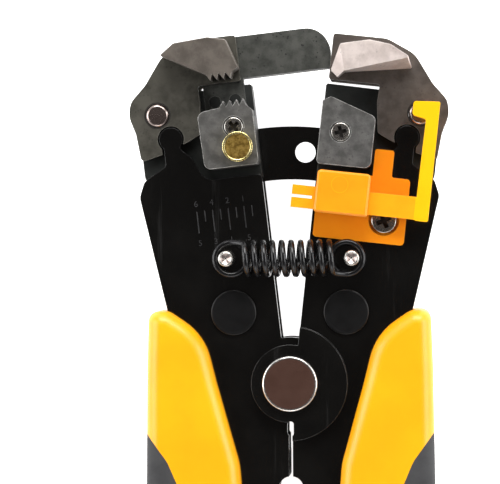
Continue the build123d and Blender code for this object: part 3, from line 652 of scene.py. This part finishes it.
@dataclass
class Seat:
    """Where a round CAD node stands: its axis, its two heights and its radius, in metres."""

    x: float
    y: float
    low: float
    high: float
    radius: float

    @classmethod
    def of(cls, node: str) -> "Seat":
        """Reads a seat off a node's box."""
        lowest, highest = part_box(node)
        return cls((lowest.x + highest.x) / 2, (lowest.y + highest.y) / 2, lowest.z, highest.z,
                   (highest.x - lowest.x) / 2)


def head_place(u: float, v: float, side: Side) -> tuple[float, float]:
    """A place in a leaning head, given in millimetres outwards and upwards from the pivot, in metres."""
    x = u * math.cos(HEAD_LEAN) + v * math.sin(HEAD_LEAN)
    y = v * math.cos(HEAD_LEAN) - u * math.sin(HEAD_LEAN)
    return side.value * x * MM, y * MM


# ------------------------------------------------------------------ sub-assemblies
@dataclass
class Plates:
    """The four black plates, the curved guide bar and the gauge on the left front plate."""

    shop: FinishShop
    edge_break: float = 0.28
    tick_count: int = 8
    tick_pitch: float = 1.65
    tick_first: float = 15.2
    tick_top: float = 37.8
    tick_long: float = 4.6
    tick_short: float = 2.3
    tick_width: float = 0.24
    print_height: float = 0.03
    digit_size: float = 1.75
    digits_above: tuple[str, ...] = ("6", "4", "2", "1")
    digits_below: tuple[str, ...] = ("5", "3", "1", ".5")

    def build(self) -> None:
        """Makes every plate and the gauge."""
        paint = self.shop.get(BLACK_PAINT)
        for side in Side:
            for layer in ("plate_front", "plate_rear"):
                node = side.node(layer)
                plate = Bench.carve(node, f"{node}_painted", self.edge_break)
                Bench.paint(plate, paint)
                Bench.fit(plate, node)
        bar = Bench.carve("guide_bar", "guide_bar_painted", 0.18)
        Bench.paint(bar, paint)
        Bench.fit(bar, "guide_bar")
        Bench.on_cad("guide_rivets", paint)
        self.gauge()

    def gauge(self) -> None:
        """Stripping-length ticks and their numbers, lightly printed on the plate."""
        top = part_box("left_plate_front")[1].z
        marks = []
        for index in range(self.tick_count):
            length = self.tick_long if index % 2 == 0 else self.tick_short
            u = self.tick_first - index * self.tick_pitch
            x, y = head_place(u, self.tick_top - length / 2, Side.LEFT)
            marks.append(self.tick(f"tick_{index}", x, y, top, length))
        for row, labels in ((self.tick_top + 1.0, self.digits_above),
                            (self.tick_top - self.tick_long - 2.6, self.digits_below)):
            for index, label in enumerate(labels):
                u = self.tick_first - index * 2 * self.tick_pitch + self.digit_size * 0.25
                marks.append(self.digit(label, u, row, top))
        gauge = Bench.combine(marks, "gauge_print")
        Bench.paint(gauge, self.shop.get(GAUGE_PAINT))
        Bench.fit(gauge, "left_plate_front", stands_for=False)

    def tick(self, name: str, x: float, y: float, top: float, length: float) -> Piece:
        """One tick with rounded ends.

        Args:
            name: Name of the mark.
            x: Place of its middle, in metres.
            y: Place of its middle, in metres.
            top: Height of the plate's face.
            length: Length in millimetres.

        Returns:
            The mark's piece.
        """
        bpy.ops.object.select_all(action="DESELECT")
        bpy.ops.mesh.primitive_cube_add(size=1.0, location=(x, y, top + self.print_height * MM / 2),
                                        rotation=(0, 0, HEAD_LEAN))
        bpy.context.object.scale = (self.tick_width * MM, length * MM, self.print_height * MM)
        mark = Bench.named(name)
        Bench.edit_edges(mark, lambda a, b: abs(a.x - b.x) < 1e-7 and abs(a.y - b.y) < 1e-7)
        bpy.ops.mesh.bevel(offset=0.1 * MM, segments=2, affect="EDGES")
        Bench.done()
        return mark

    def digit(self, label: str, u: float, v: float, top: float) -> Piece:
        """One number of the gauge, as a mesh."""
        x, y = head_place(u, v, Side.LEFT)
        bpy.ops.object.select_all(action="DESELECT")
        bpy.ops.object.text_add(location=(x, y, top + 0.004 * MM), rotation=(0, 0, HEAD_LEAN))
        text = bpy.context.object
        text.data.body = label
        text.data.size = self.digit_size * MM
        text.data.extrude = self.print_height * MM / 2
        text.data.resolution_u = 3
        bpy.ops.object.convert(target="MESH")
        return Bench.named(f"number_{label}".replace(".", "_"))


@dataclass
class MainPivot:
    """The main rivet: a bright chamfer round a flat face darkened by painted reflection, and a formed head
    behind.
    """

    shop: FinishShop
    chamfer: float = 0.42
    step: float = 0.05
    rim: float = 0.12
    head_clear: float = 0.1
    rear_ring: float = 1.6
    rear_groove: float = 0.5
    rear_sink: float = 0.35
    rear_round: float = 0.5
    shank_radius: float = 3.45
    shank_step: float = 0.4

    def build(self) -> None:
        """Makes the rivet and dresses its spacer."""
        seat = Seat.of("pivot_rivet")
        head_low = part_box("right_plate_front")[1].z + self.head_clear * MM
        rear_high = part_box("right_plate_rear")[0].z - self.head_clear * MM
        head = Bench.cylinder("pivot_head", seat.x, seat.y, head_low, seat.high, seat.radius, 96)
        Bench.round_rim(head, seat.high, self.chamfer * MM, 3)
        Bench.edit_faces(head, lambda centre, normal: normal.z > 0.99 and centre.z > seat.high - 1e-6)
        bpy.ops.mesh.inset(thickness=self.rim * MM, depth=-self.step * MM)
        Bench.done()
        Bench.paint(head, self.shop.get(PIVOT_RIM), self.shop.get(PIVOT_FACE_PAINTED_REFLECTION))
        # Painted reflection: the flat middle of the head gets the darker face colour.
        Bench.paint_faces(head, 1,
                          lambda centre, normal: normal.z > 0.99 and centre.xy.length < seat.radius * 0.5)
        rear = Bench.cylinder("pivot_rear", seat.x, seat.y, seat.low, rear_high, seat.radius, 96)
        Bench.edit_faces(rear, lambda centre, normal: normal.z < -0.99)
        bpy.ops.mesh.inset(thickness=self.rear_ring * MM, depth=0.0)
        bpy.ops.mesh.inset(thickness=self.rear_groove * MM, depth=-self.rear_sink * MM)
        Bench.done()
        Bench.round_rim(rear, seat.low, self.rear_round * MM, 3)
        Bench.paint(rear, self.shop.get(RIVET_STEEL))
        sink = 2 * self.head_clear * MM
        shank = Bench.cylinder("pivot_shank", seat.x, seat.y, rear_high - sink, head_low + sink,
                               self.shank_radius * MM, 64)
        Bench.edit_faces(shank, lambda centre, normal: abs(normal.z) > 0.99)
        bpy.ops.mesh.inset(thickness=self.shank_step * MM, depth=0.0)
        Bench.done()
        Bench.paint(shank, self.shop.get(RIVET_STEEL))
        rivet = Bench.combine([head, rear, shank], "main_rivet")
        Bench.smooth(rivet)
        Bench.fit(rivet, "pivot_rivet")
        Bench.on_cad("pivot_spacer", self.shop.get(RIVET_STEEL))


@dataclass
class Arms:
    """The two arms, their black pivot discs, the rivets that carry the jaws and a painted shade ring round
    each of them.
    """

    shop: FinishShop
    disc_chamfer: float = 0.22
    disc_thick: float = 0.7
    disc_rim: float = 0.35
    disc_step_width: float = 0.1
    disc_step: float = 0.04
    shank_radius: float = 2.5
    shank_sink: float = 0.2
    shank_step: float = 0.3
    rivet_round: float = 0.75
    rivet_clear: float = 0.06
    dish_width: float = 0.35
    dish_depth: float = 0.1
    gap_width: float = 0.3
    gap_reach: float = 0.28
    gap_low: float = 0.52
    gap_high: float = 0.46
    gap_skin: float = 0.02

    def build(self) -> None:
        """Makes both sides."""
        for side in Side:
            arm = Bench.carve(side.node("arm"), side.node("arm_forged"), 0.25)
            Bench.paint(arm, self.shop.get(ARM_STEEL))
            Bench.fit(arm, side.node("arm"))
            self.disc_pin(side)
            self.jaw_rivet(side)

    def disc_pin(self, side: Side) -> None:
        """The wide disc headed pin of an arm."""
        node = side.node("arm_pin")
        seat = Seat.of(node)
        thick, sink = self.disc_thick * MM, self.shank_sink * MM
        front = Bench.cylinder("disc_front", seat.x, seat.y, seat.high - thick, seat.high, seat.radius, 72)
        Bench.round_rim(front, seat.high, self.disc_chamfer * MM, 2)
        Bench.edit_faces(front, lambda centre, normal: normal.z > 0.99 and centre.z > seat.high - 1e-6)
        bpy.ops.mesh.inset(thickness=self.disc_rim * MM, depth=0.0)
        bpy.ops.mesh.inset(thickness=self.disc_step_width * MM, depth=-self.disc_step * MM)
        Bench.done()
        rear = Bench.cylinder("disc_rear", seat.x, seat.y, seat.low, seat.low + thick, seat.radius, 72)
        Bench.round_rim(rear, seat.low, self.disc_chamfer * MM, 2)
        inner_low, inner_high = seat.low + thick - sink, seat.high - thick
        shank = Bench.cylinder("disc_shank", seat.x, seat.y, inner_low, inner_high, self.shank_radius * MM,
                               48)
        Bench.edit_faces(shank, lambda centre, normal: abs(normal.z) > 0.99)
        bpy.ops.mesh.inset(thickness=self.shank_step * MM, depth=0.0)
        Bench.done()
        pin = Bench.combine([front, rear, shank], side.node("arm_pin_disc"))
        Bench.paint(pin, self.shop.get(PIN_BLACK))
        Bench.smooth(pin)
        Bench.fit(pin, node)

    def jaw_rivet(self, side: Side) -> None:
        """A formed rivet with a rounded rim and a slightly sunk middle, and a dark painted shade ring round
        it.
        """
        node = side.node("jaw_rivet")
        seat = Seat.of(node)
        radius = seat.radius - self.rivet_clear * MM
        rivet = Bench.cylinder(side.node("jaw_rivet_formed"), seat.x, seat.y, seat.low, seat.high, radius, 64)
        for height in (seat.high, seat.low):
            Bench.round_rim(rivet, height, self.rivet_round * MM, 5)
        Bench.edit_faces(rivet, lambda centre, normal: normal.z > 0.99 and centre.z > seat.high - 1e-6)
        bpy.ops.mesh.inset(thickness=self.dish_width * MM, depth=-self.dish_depth * MM)
        Bench.done()
        Bench.paint(rivet, self.shop.get(RIVET_STEEL))
        Bench.smooth(rivet)
        Bench.fit(rivet, node)
        # Painted shade: a thin dark ring sheet just below the rivet's top, standing in for the shade in the
        # gap round the rivet.
        low, high = seat.high - self.gap_low * MM, seat.high - self.gap_high * MM
        reach = seat.radius + self.gap_reach * MM
        ring = Bench.cylinder(side.node("jaw_rivet_gap"), seat.x, seat.y, low, high, reach, 64)
        Bench.edit_faces(ring, lambda centre, normal: abs(normal.z) > 0.99)
        bpy.ops.mesh.inset(thickness=self.gap_width * MM, depth=0.0)
        bpy.ops.mesh.delete(type="FACE")
        Bench.done()
        Bench.modify(ring, "SOLIDIFY", thickness=self.gap_skin * MM)
        Bench.paint(ring, self.shop.get(RECESS_PAINTED_SHADE))
        Bench.fit(ring, side.node("upper_jaw"), stands_for=False)


@dataclass
class Jaws:
    """The folded upper jaws with their noses, and the bridge bar between the heads."""

    shop: FinishShop
    cheek_break: float = 0.22
    nose_break: float = 0.18
    facet_top: tuple[float, float] = (3.1, 71.0)
    facet_foot: tuple[float, float] = (4.5, 65.5)
    facet_drop: float = 2.6
    heel: tuple[float, float] = (17.7, 69.7)
    heel_low: tuple[float, float] = (18.6, 67.9)

    def build(self) -> None:
        """Makes the jaws, the noses and the bridge."""
        steels = {Side.LEFT: LEFT_JAW_STEEL, Side.RIGHT: RIGHT_JAW_STEEL}
        for side in Side:
            node = side.node("upper_jaw")
            jaw = Bench.carve(node, side.node("upper_jaw_folded"), self.cheek_break)
            Bench.paint(jaw, self.shop.get(steels[side]))
            Bench.fit(jaw, node)
        for node, steel in (("gripping_nose", LEFT_NOSE_STEEL), ("blade_nose", RIGHT_NOSE_STEEL)):
            nose = Bench.carve(node, f"{node}_ground", self.nose_break,
                               self.grind_facets if node == "blade_nose" else None)
            Bench.paint(nose, self.shop.get(steel))
            Bench.fit(nose, node)
        bridge = Bench.carve("bridge_bar", "bridge_bar_forged", 0.6)
        Bench.paint(bridge, self.shop.get(BRIDGE_STEEL))
        Bench.fit(bridge, "bridge_bar")
        Bench.on_cad("bridge_rivets", self.shop.get(ARM_STEEL))

    def grind_facets(self, nose: Piece) -> None:
        """Grinds the stripping nose down towards the middle and slopes its underside out."""
        lowest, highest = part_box("blade_nose")
        Bench.split(nose, self.facet_top, self.facet_foot)
        start, foot = (Vector((*head_place(u, v, Side.RIGHT), 0)) for u,
                       v in (self.facet_top, self.facet_foot))
        along = (foot - start).normalized()
        heel = Vector((*head_place(self.heel[0], self.heel[1], Side.RIGHT), 0))
        spread = Vector((*head_place(self.heel_low[0], self.heel_low[1], Side.RIGHT), 0)) - heel
        for vertex in nose.data.vertices:
            place = Vector((vertex.co.x, vertex.co.y, 0))
            beside = along.cross(place - start).z
            if vertex.co.z > highest.z - 0.01 * MM and beside < -0.05 * MM:
                vertex.co.z -= self.facet_drop * MM * min(1.0, -beside / (1.2 * MM))
            if vertex.co.z < lowest.z + 0.01 * MM and (place - heel).length < 1.3 * MM:
                vertex.co.x += spread.x
                vertex.co.y += spread.y


@dataclass
class CrossScrew:
    """A screw with a cross recess, sunk in its own counterbore."""

    node: str
    name: str
    head_radius: float
    head_height: float
    arm_length: float
    arm_width: float
    depth: float
    turn: float

    def build(self, shop: FinishShop) -> Piece:
        """Makes the screw and cuts its recess."""
        seat = Seat.of(self.node)
        radius = self.head_radius * MM
        head = Bench.cylinder(self.name, seat.x, seat.y, seat.high - self.head_height * MM, seat.high,
                              radius, 56)
        Bench.round_rim(head, seat.high, 0.28 * MM, 3)
        shank = Bench.cylinder("screw_shank", seat.x, seat.y, seat.low,
                               seat.high - (self.head_height - 0.1) * MM, 1.45 * MM, 32)
        Bench.edit_faces(shank, lambda centre, normal: normal.z < -0.99)
        bpy.ops.mesh.inset(thickness=0.3 * MM, depth=0.25 * MM)
        Bench.done()
        Bench.paint(head, shop.get(SCREW_STEEL), shop.get(RECESS_PAINTED_SHADE))
        # Painted shade: the cut cross recess takes the cutter's dark colour.
        Bench.cut(head, self.recess(seat, shop))
        Bench.paint(shank, shop.get(SCREW_STEEL))
        screw = Bench.combine([head, shank], self.name)
        Bench.smooth(screw)
        return Bench.fit(screw, self.node)

    def recess(self, seat: Seat, shop: FinishShop) -> Piece:
        """The tapered cross that the recess is cut with.

        Args:
            seat: Where the screw stands.
            shop: Where the recess's dark painted shade comes from.

        Returns:
            The cutter.
        """
        bpy.ops.object.select_all(action="DESELECT")
        width, depth = self.arm_width * MM, self.depth * MM
        bpy.ops.mesh.primitive_cube_add(size=1.0, location=(0, 0, 0))
        bpy.context.object.scale = (width, width, depth * 2)
        cutter = Bench.named("cross_cutter")
        Bench.edit_faces(cutter, lambda centre, normal: abs(normal.z) < 0.5)
        reach = (self.arm_length - self.arm_width / 2) * MM
        bpy.ops.mesh.extrude_faces_move(TRANSFORM_OT_shrink_fatten={"value": reach})
        Bench.edit_faces(cutter, lambda centre, normal: normal.z < -0.5)
        bpy.ops.transform.resize(value=(0.72, 0.72, 1.0))
        Bench.done()
        cutter.rotation_euler = (0, 0, self.turn)
        cutter.location = (seat.x, seat.y, seat.high)
        Bench.pick(cutter)
        bpy.ops.object.transform_apply(location=True, rotation=True, scale=True)
        # Painted shade: the cutter's dark colour goes onto the recess walls that it leaves.
        Bench.paint(cutter, shop.get(RECESS_PAINTED_SHADE))
        return cutter


@dataclass
class Blocks:
    """The two lower blocks, their screws and the brass thumb screw."""

    shop: FinishShop
    block_break: float = 0.28
    bore: float = 2.3
    knurls: int = 44

    def build(self) -> None:
        """Makes the blocks and what is screwed into them."""
        for node in ("gripping_block", "blade_block"):
            block = Bench.carve(node, f"{node}_blasted", self.block_break)
            Bench.paint(block, self.shop.get(BLOCK_STEEL), self.shop.get(RECESS_PAINTED_SHADE))
            # Painted shade: the walls round each block's screw get the dark recess colour.
            Bench.paint_bore_shade(block, 1, Seat.of(f"{node}_screw"), self.bore)
            Bench.fit(block, node)
        CrossScrew("gripping_block_screw", "gripping_block_cross_screw", 1.98, 1.75, 1.5, 0.95, 0.9,
                   0.72).build(self.shop)
        CrossScrew("blade_block_screw", "blade_block_cross_screw", 1.98, 1.75, 1.5, 0.95, 0.9,
                   0.20).build(self.shop)
        self.thumb_screw()

    def thumb_screw(self) -> None:
        """The knurled brass head with a bright rim and a sunk speckled face."""
        seat = Seat.of("adjuster_knob")
        head_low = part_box("gripping_block")[1].z + 0.3 * MM
        head = Bench.cylinder("thumb_screw", seat.x, seat.y, head_low, seat.high, seat.radius - 0.11 * MM,
                              self.knurls)
        Bench.edit_faces(head, lambda centre, normal: normal.z > 0.99)
        bpy.ops.mesh.inset(thickness=0.3 * MM, depth=0.0)
        bpy.ops.mesh.inset(thickness=0.14 * MM, depth=-0.16 * MM)
        Bench.done()
        Bench.paint(head, self.shop.get(BRASS_RIM), self.shop.get(BRASS_FACE))
        Bench.paint_faces(head, 1, lambda centre, normal: normal.z > 0.99 and centre.z < seat.high - 1e-6)
        Bench.edit_faces(head, lambda centre, normal: abs(normal.z) < 0.1)
        bpy.ops.mesh.inset(thickness=0.07 * MM, depth=0.1 * MM, use_individual=True)
        Bench.done()
        shank = Bench.cylinder("thumb_shank", seat.x, seat.y, seat.low, head_low + 0.1 * MM, 1.2 * MM, 32)
        Bench.edit_faces(shank, lambda centre, normal: normal.z < -0.99)
        bpy.ops.mesh.inset(thickness=0.2 * MM, depth=0.2 * MM)
        Bench.done()
        Bench.paint(shank, self.shop.get(BRASS_RIM))
        screw = Bench.combine([head, shank], "brass_thumb_screw")
        Bench.smooth(screw)
        Bench.fit(screw, "adjuster_knob")


@dataclass
class ReturnSpring:
    """The extension spring between the halves, wound from one wire, and its two pins."""

    shop: FinishShop
    turns: float = 9.5
    coil_half: float = 9.3
    wire: float = 1.25
    steps_per_turn: int = 16
    loop_degrees: float = 330.0
    loop_steps: int = 20
    coil_swell: float = 1.02
    pin_round: float = 0.45
    pin_rim: float = 0.12
    pin_face: float = 0.72
    pin_dimple: float = 0.1

    def build(self) -> None:
        """Winds the spring and turns its pins."""
        self.wind()
        for side in Side:
            self.pin(side)

    def route(self) -> list[Vector]:
        """The wire's line: an end loop, the coil and the other end loop, in metres."""
        lowest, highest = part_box("return_spring")
        centre = (lowest + highest) / 2
        radius = (highest.y - lowest.y) / 2 - self.wire * MM / 2
        loop_x = (highest.x - lowest.x) / 2 - self.wire * MM / 2 - radius
        points = []
        for index in range(self.loop_steps + 1):
            angle = math.radians(90.0 + self.loop_degrees * (1 - index / self.loop_steps))
            points.append(Vector((-loop_x + radius * math.cos(angle), radius * math.sin(angle), 0)))
        steps = int(self.turns * self.steps_per_turn)
        for index in range(1, steps):
            angle = math.tau * self.turns * index / steps
            x = self.coil_half * MM * (2 * index / steps - 1)
            points.append(Vector((x, radius * self.coil_swell * math.cos(angle),
                                  radius * self.coil_swell * math.sin(angle))))
        for index in range(self.loop_steps + 1):
            angle = math.radians(-90.0 + self.loop_degrees * index / self.loop_steps)
            points.append(Vector((loop_x + radius * math.cos(angle), radius * math.sin(angle), 0)))
        return [centre + point for point in points]

    def wind(self) -> None:
        """The wire along its line, blended between the halves."""
        curve = bpy.data.curves.new("spring_line", "CURVE")
        curve.dimensions = "3D"
        points = self.route()
        spline = curve.splines.new("NURBS")
        spline.points.add(len(points) - 1)
        for point, place in zip(spline.points, points):
            point.co = (*place, 1.0)
        spline.order_u = 4
        spline.use_endpoint_u = True
        spline.resolution_u = 3
        curve.bevel_depth = self.wire * MM / 2
        curve.bevel_resolution = 3
        curve.use_fill_caps = True
        spring = bpy.data.objects.new("return_spring_wound", curve)
        bpy.context.scene.collection.objects.link(spring)
        Bench.pick(spring)
        bpy.ops.object.convert(target="MESH")
        spring = Bench.named("return_spring_wound")
        bpy.ops.object.mode_set(mode="EDIT")
        bpy.ops.mesh.select_all(action="SELECT")
        bpy.ops.mesh.remove_doubles(threshold=0.001 * MM)
        bpy.ops.mesh.normals_make_consistent(inside=False)
        Bench.done()
        bpy.ops.object.shade_smooth_by_angle(angle=SMOOTH_ANGLE)
        Bench.paint(spring, self.shop.get(SPRING_BLACK))
        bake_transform(spring)
        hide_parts("return_spring")
        log.info("return_spring_wound: %d faces", len(spring.data.polygons))

    def pin(self, side: Side) -> None:
        """A bright pin with a rounded head and a turned centre dimple."""
        node = side.node("spring_pin")
        seat = Seat.of(node)
        pin = Bench.cylinder(side.node("spring_pin_turned"), seat.x, seat.y, seat.low, seat.high,
                             seat.radius, 48)
        Bench.round_rim(pin, seat.high, self.pin_round * MM, 4)
        Bench.edit_faces(pin, lambda centre, normal: normal.z > 0.99)
        bpy.ops.mesh.inset(thickness=self.pin_rim * MM, depth=-self.pin_rim * MM)
        bpy.ops.mesh.inset(thickness=self.pin_face * MM, depth=0.0)
        bpy.ops.mesh.inset(thickness=self.pin_rim * MM, depth=-self.pin_dimple * MM)
        Bench.done()
        Bench.paint(pin, self.shop.get(SCREW_STEEL), self.shop.get(RIVET_STEEL))
        Bench.paint_faces(pin, 1, lambda centre, normal: normal.z > 0.9 and centre.z < seat.high - 0.05 * MM)
        Bench.smooth(pin)
        Bench.fit(pin, node)


@dataclass
class StripStop:
    """The moulded holder with its screw and the sliding stop."""

    shop: FinishShop
    mould_break: float = 0.3
    bore: float = 3.3
    upright_start: float = 21.9
    hook_start: float = 45.0
    ring_radius: float = 1.7
    ring_section: float = 0.11
    ring_sunk: float = 0.03
    ring_proud: float = 0.05

    def build(self) -> None:
        """Makes the holder, the stop and the screw."""
        holder = Bench.carve("stop_holder", "stop_holder_moulded", self.mould_break)
        Bench.paint(holder, self.shop.get(HOLDER_PLASTIC), self.shop.get(HOLDER_RECESS_PAINTED_SHADE))
        # Painted shade: the walls round the holder's screw get a dark red-brown.
        Bench.paint_bore_shade(holder, 1, Seat.of("holder_screw"), self.bore)
        Bench.fit(holder, "stop_holder")
        slider = Bench.carve("stop_slider", "stop_slider_moulded", self.mould_break, self.split_upright)
        # Painted light: the upright and hook get the lighter copy of the plastic, and the rod gets the darker
        # one.
        Bench.paint(slider, self.shop.get(SLIDER_PAINTED_LIGHT_PLASTIC), self.shop.get(ROD_PLASTIC))
        Bench.paint_faces(slider, 1, self.is_rod)
        Bench.fit(slider, "stop_slider")
        CrossScrew("holder_screw", "holder_cross_screw", 2.6, 1.15, 1.9, 1.1, 0.8, 0.4).build(self.shop)
        self.ejector_ring()

    def split_upright(self, slider: Piece) -> None:
        """Marks where the stop's upright, painted lighter as painted light, meets its rod."""
        Bench.split(slider, (self.upright_start, 0.0), (self.upright_start, 1.0))

    def is_rod(self, centre: Vector, normal: Vector) -> bool:
        """Whether a face of the stop belongs to its rod and not to its upright or hook."""
        return self.outward(centre) < self.upright_start and centre.y < self.hook_start * MM

    @staticmethod
    def outward(place: Vector) -> float:
        """How far out of the head a place lies, in millimetres."""
        return (place.x * math.cos(HEAD_LEAN) - place.y * math.sin(HEAD_LEAN)) / MM

    def ejector_ring(self) -> None:
        """The witness ring that the mould leaves on the holder's block."""
        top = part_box("stop_holder")[1].z
        x, y = head_place(6.1, 42.1, Side.RIGHT)
        low, high = top - self.ring_sunk * MM, top + self.ring_proud * MM
        ring = Bench.cylinder("ejector_ring", x, y, low, high, (self.ring_radius + self.ring_section) * MM,
                              56)
        Bench.edit_faces(ring, lambda centre, normal: abs(normal.z) > 0.99)
        bpy.ops.mesh.inset(thickness=2 * self.ring_section * MM, depth=0.0)
        bpy.ops.mesh.delete(type="FACE")
        Bench.done()
        Bench.modify(ring, "SOLIDIFY", thickness=0.02 * MM, offset=-1.0)
        Bench.paint(ring, self.shop.get(ROD_PLASTIC))
        Bench.fit(ring, "stop_holder", stands_for=False)


@dataclass
class Handles:
    """The moulded grips with their rubber inserts, the crimp dies and the hidden tang rivets."""

    shop: FinishShop
    seam_break: float = 0.3

    def build(self) -> None:
        """Makes both handles."""
        for side in Side:
            grip = Bench.carve(side.node("grip"), side.node("grip_moulded"), self.seam_break)
            Bench.paint(grip, self.shop.get(GRIP_PLASTIC))
            Bench.fit(grip, side.node("grip"))
            insert = Bench.carve(side.node("grip_insert"), side.node("grip_insert_rubber"), self.seam_break)
            Bench.paint(insert, self.shop.get(GRIP_RUBBER))
            Bench.fit(insert, side.node("grip_insert"))
            die = Bench.carve(side.node("crimp_die"), side.node("crimp_die_ground"), 0.15)
            Bench.paint(die, self.shop.get(BLOCK_STEEL))
            Bench.fit(die, side.node("crimp_die"))
            Bench.on_cad(side.node("tang_rivets"), self.shop.get(RIVET_STEEL))


# ------------------------------------------------------------------ studio
@dataclass
class Studio:
    """The camera, the soft lights and the pale floor."""

    target: Vector = field(default_factory=lambda: Vector((-8.23, 29.46, 17.2)) * MM)
    eye: Vector = field(default_factory=lambda: Vector((28.0, 29.5, 667.0)) * MM)
    frame_width: float = 104.17
    sensor: float = 36.0
    roll: float = math.radians(0.4)

    def build(self) -> None:
        """Sets up the whole studio."""
        self.camera()
        self.world()
        self.floor()
        self.light("key_top", (0.05, 0.55, 0.42), (0.0, 0.02, 0.01), 0.55, 0.35, 5.0, (1.0, 0.99, 0.97))
        self.light("side_left", (-0.55, 0.10, 0.34), (0.0, 0.03, 0.01), 0.45, 0.45, 2.4, (1.0, 1.0, 1.0))
        self.light("side_right", (0.55, 0.10, 0.34), (0.0, 0.03, 0.01), 0.45, 0.45, 2.4, (1.0, 1.0, 1.0))
        self.light("low_front", (0.0, -0.60, 0.40), (0.0, 0.02, 0.01), 0.5, 0.3, 1.0, (1.0, 0.98, 0.96))

    def camera(self) -> None:
        """A long lens that looks almost straight down on the tool."""
        data = bpy.data.cameras.new("camera")
        data.sensor_width = self.sensor
        data.lens = self.sensor * (self.eye - self.target).length / (self.frame_width * MM)
        data.clip_start, data.clip_end = 0.01, 20.0
        camera = bpy.data.objects.new("camera", data)
        bpy.context.scene.collection.objects.link(camera)
        back = (self.eye - self.target).normalized()
        up = Vector((math.sin(self.roll), math.cos(self.roll), 0.0))
        right = up.cross(back).normalized()
        turn = Matrix((right, back.cross(right), back)).transposed()
        camera.matrix_world = Matrix.Translation(self.eye) @ turn.to_4x4()
        bpy.context.scene.camera = camera

    def world(self) -> None:
        """A room that is pale at the horizon and dim overhead."""
        world = bpy.data.worlds.new("studio_room")
        world.use_nodes = True
        bpy.context.scene.world = world
        tree = world.node_tree
        ground = tree.nodes["Background"]
        where = tree.nodes.new("ShaderNodeTexCoord")
        split = tree.nodes.new("ShaderNodeSeparateXYZ")
        ramp = tree.nodes.new("ShaderNodeValToRGB")
        ramp.color_ramp.elements[0].position = 0.25
        ramp.color_ramp.elements[0].color = (1.0, 1.0, 1.0, 1.0)
        ramp.color_ramp.elements[1].position = 0.85
        ramp.color_ramp.elements[1].color = (0.055, 0.048, 0.045, 1.0)
        tree.links.new(where.outputs["Generated"], split.inputs["Vector"])
        tree.links.new(split.outputs["Z"], ramp.inputs["Fac"])
        tree.links.new(ramp.outputs["Color"], ground.inputs["Color"])
        ground.inputs["Strength"].default_value = 1.0
        bpy.context.scene.view_settings.view_transform = "Standard"

    def floor(self) -> None:
        """A pale table top that glows softly, and is open when looked at from below."""
        bpy.ops.object.select_all(action="DESELECT")
        bpy.ops.mesh.primitive_plane_add(size=6.0, location=(0, 0, -0.05 * MM))
        table = Bench.named("table_top")
        material = bpy.data.materials.new("pale_table")
        material.use_nodes = True
        tree = material.node_tree
        shader = tree.nodes["Principled BSDF"]
        shader.inputs["Base Color"].default_value = (0.9, 0.9, 0.9, 1.0)
        shader.inputs["Roughness"].default_value = 0.8
        shader.inputs["Emission Color"].default_value = (1.0, 1.0, 1.0, 1.0)
        shader.inputs["Emission Strength"].default_value = 1.0
        clear = tree.nodes.new("ShaderNodeBsdfTransparent")
        pick = tree.nodes.new("ShaderNodeMixShader")
        side = tree.nodes.new("ShaderNodeNewGeometry")
        tree.links.new(side.outputs["Backfacing"], pick.inputs["Fac"])
        tree.links.new(shader.outputs["BSDF"], pick.inputs[1])
        tree.links.new(clear.outputs["BSDF"], pick.inputs[2])
        tree.links.new(pick.outputs["Shader"], tree.nodes["Material Output"].inputs["Surface"])
        Bench.paint(table, material)

    def light(self, name: str, place: tuple[float, float, float], aim: tuple[float, float, float],
              width: float, depth: float, power: float, colour: Colour) -> None:
        """One soft area light.

        Args:
            name: Name of the light.
            place: Where it hangs, in metres.
            aim: What it points at.
            width: Width of its panel.
            depth: Depth of its panel.
            power: Watts.
            colour: Colour of the light.
        """
        data = bpy.data.lights.new(name, "AREA")
        data.shape = "RECTANGLE"
        data.size, data.size_y = width, depth
        data.energy = power
        data.color = colour
        lamp = bpy.data.objects.new(name, data)
        bpy.context.scene.collection.objects.link(lamp)
        lamp.location = place
        lamp.rotation_euler = (Vector(aim) - Vector(place)).to_track_quat("-Z", "Y").to_euler()


def main() -> None:
    """Builds every sub-assembly, then the studio."""
    logging.basicConfig(level=logging.INFO, format="%(name)s: %(message)s")
    shop = FinishShop()
    Plates(shop).build()
    MainPivot(shop).build()
    Arms(shop).build()
    Jaws(shop).build()
    Blocks(shop).build()
    ReturnSpring(shop).build()
    StripStop(shop).build()
    Handles(shop).build()
    Studio().build()


if __name__ == "__main__":
    main()
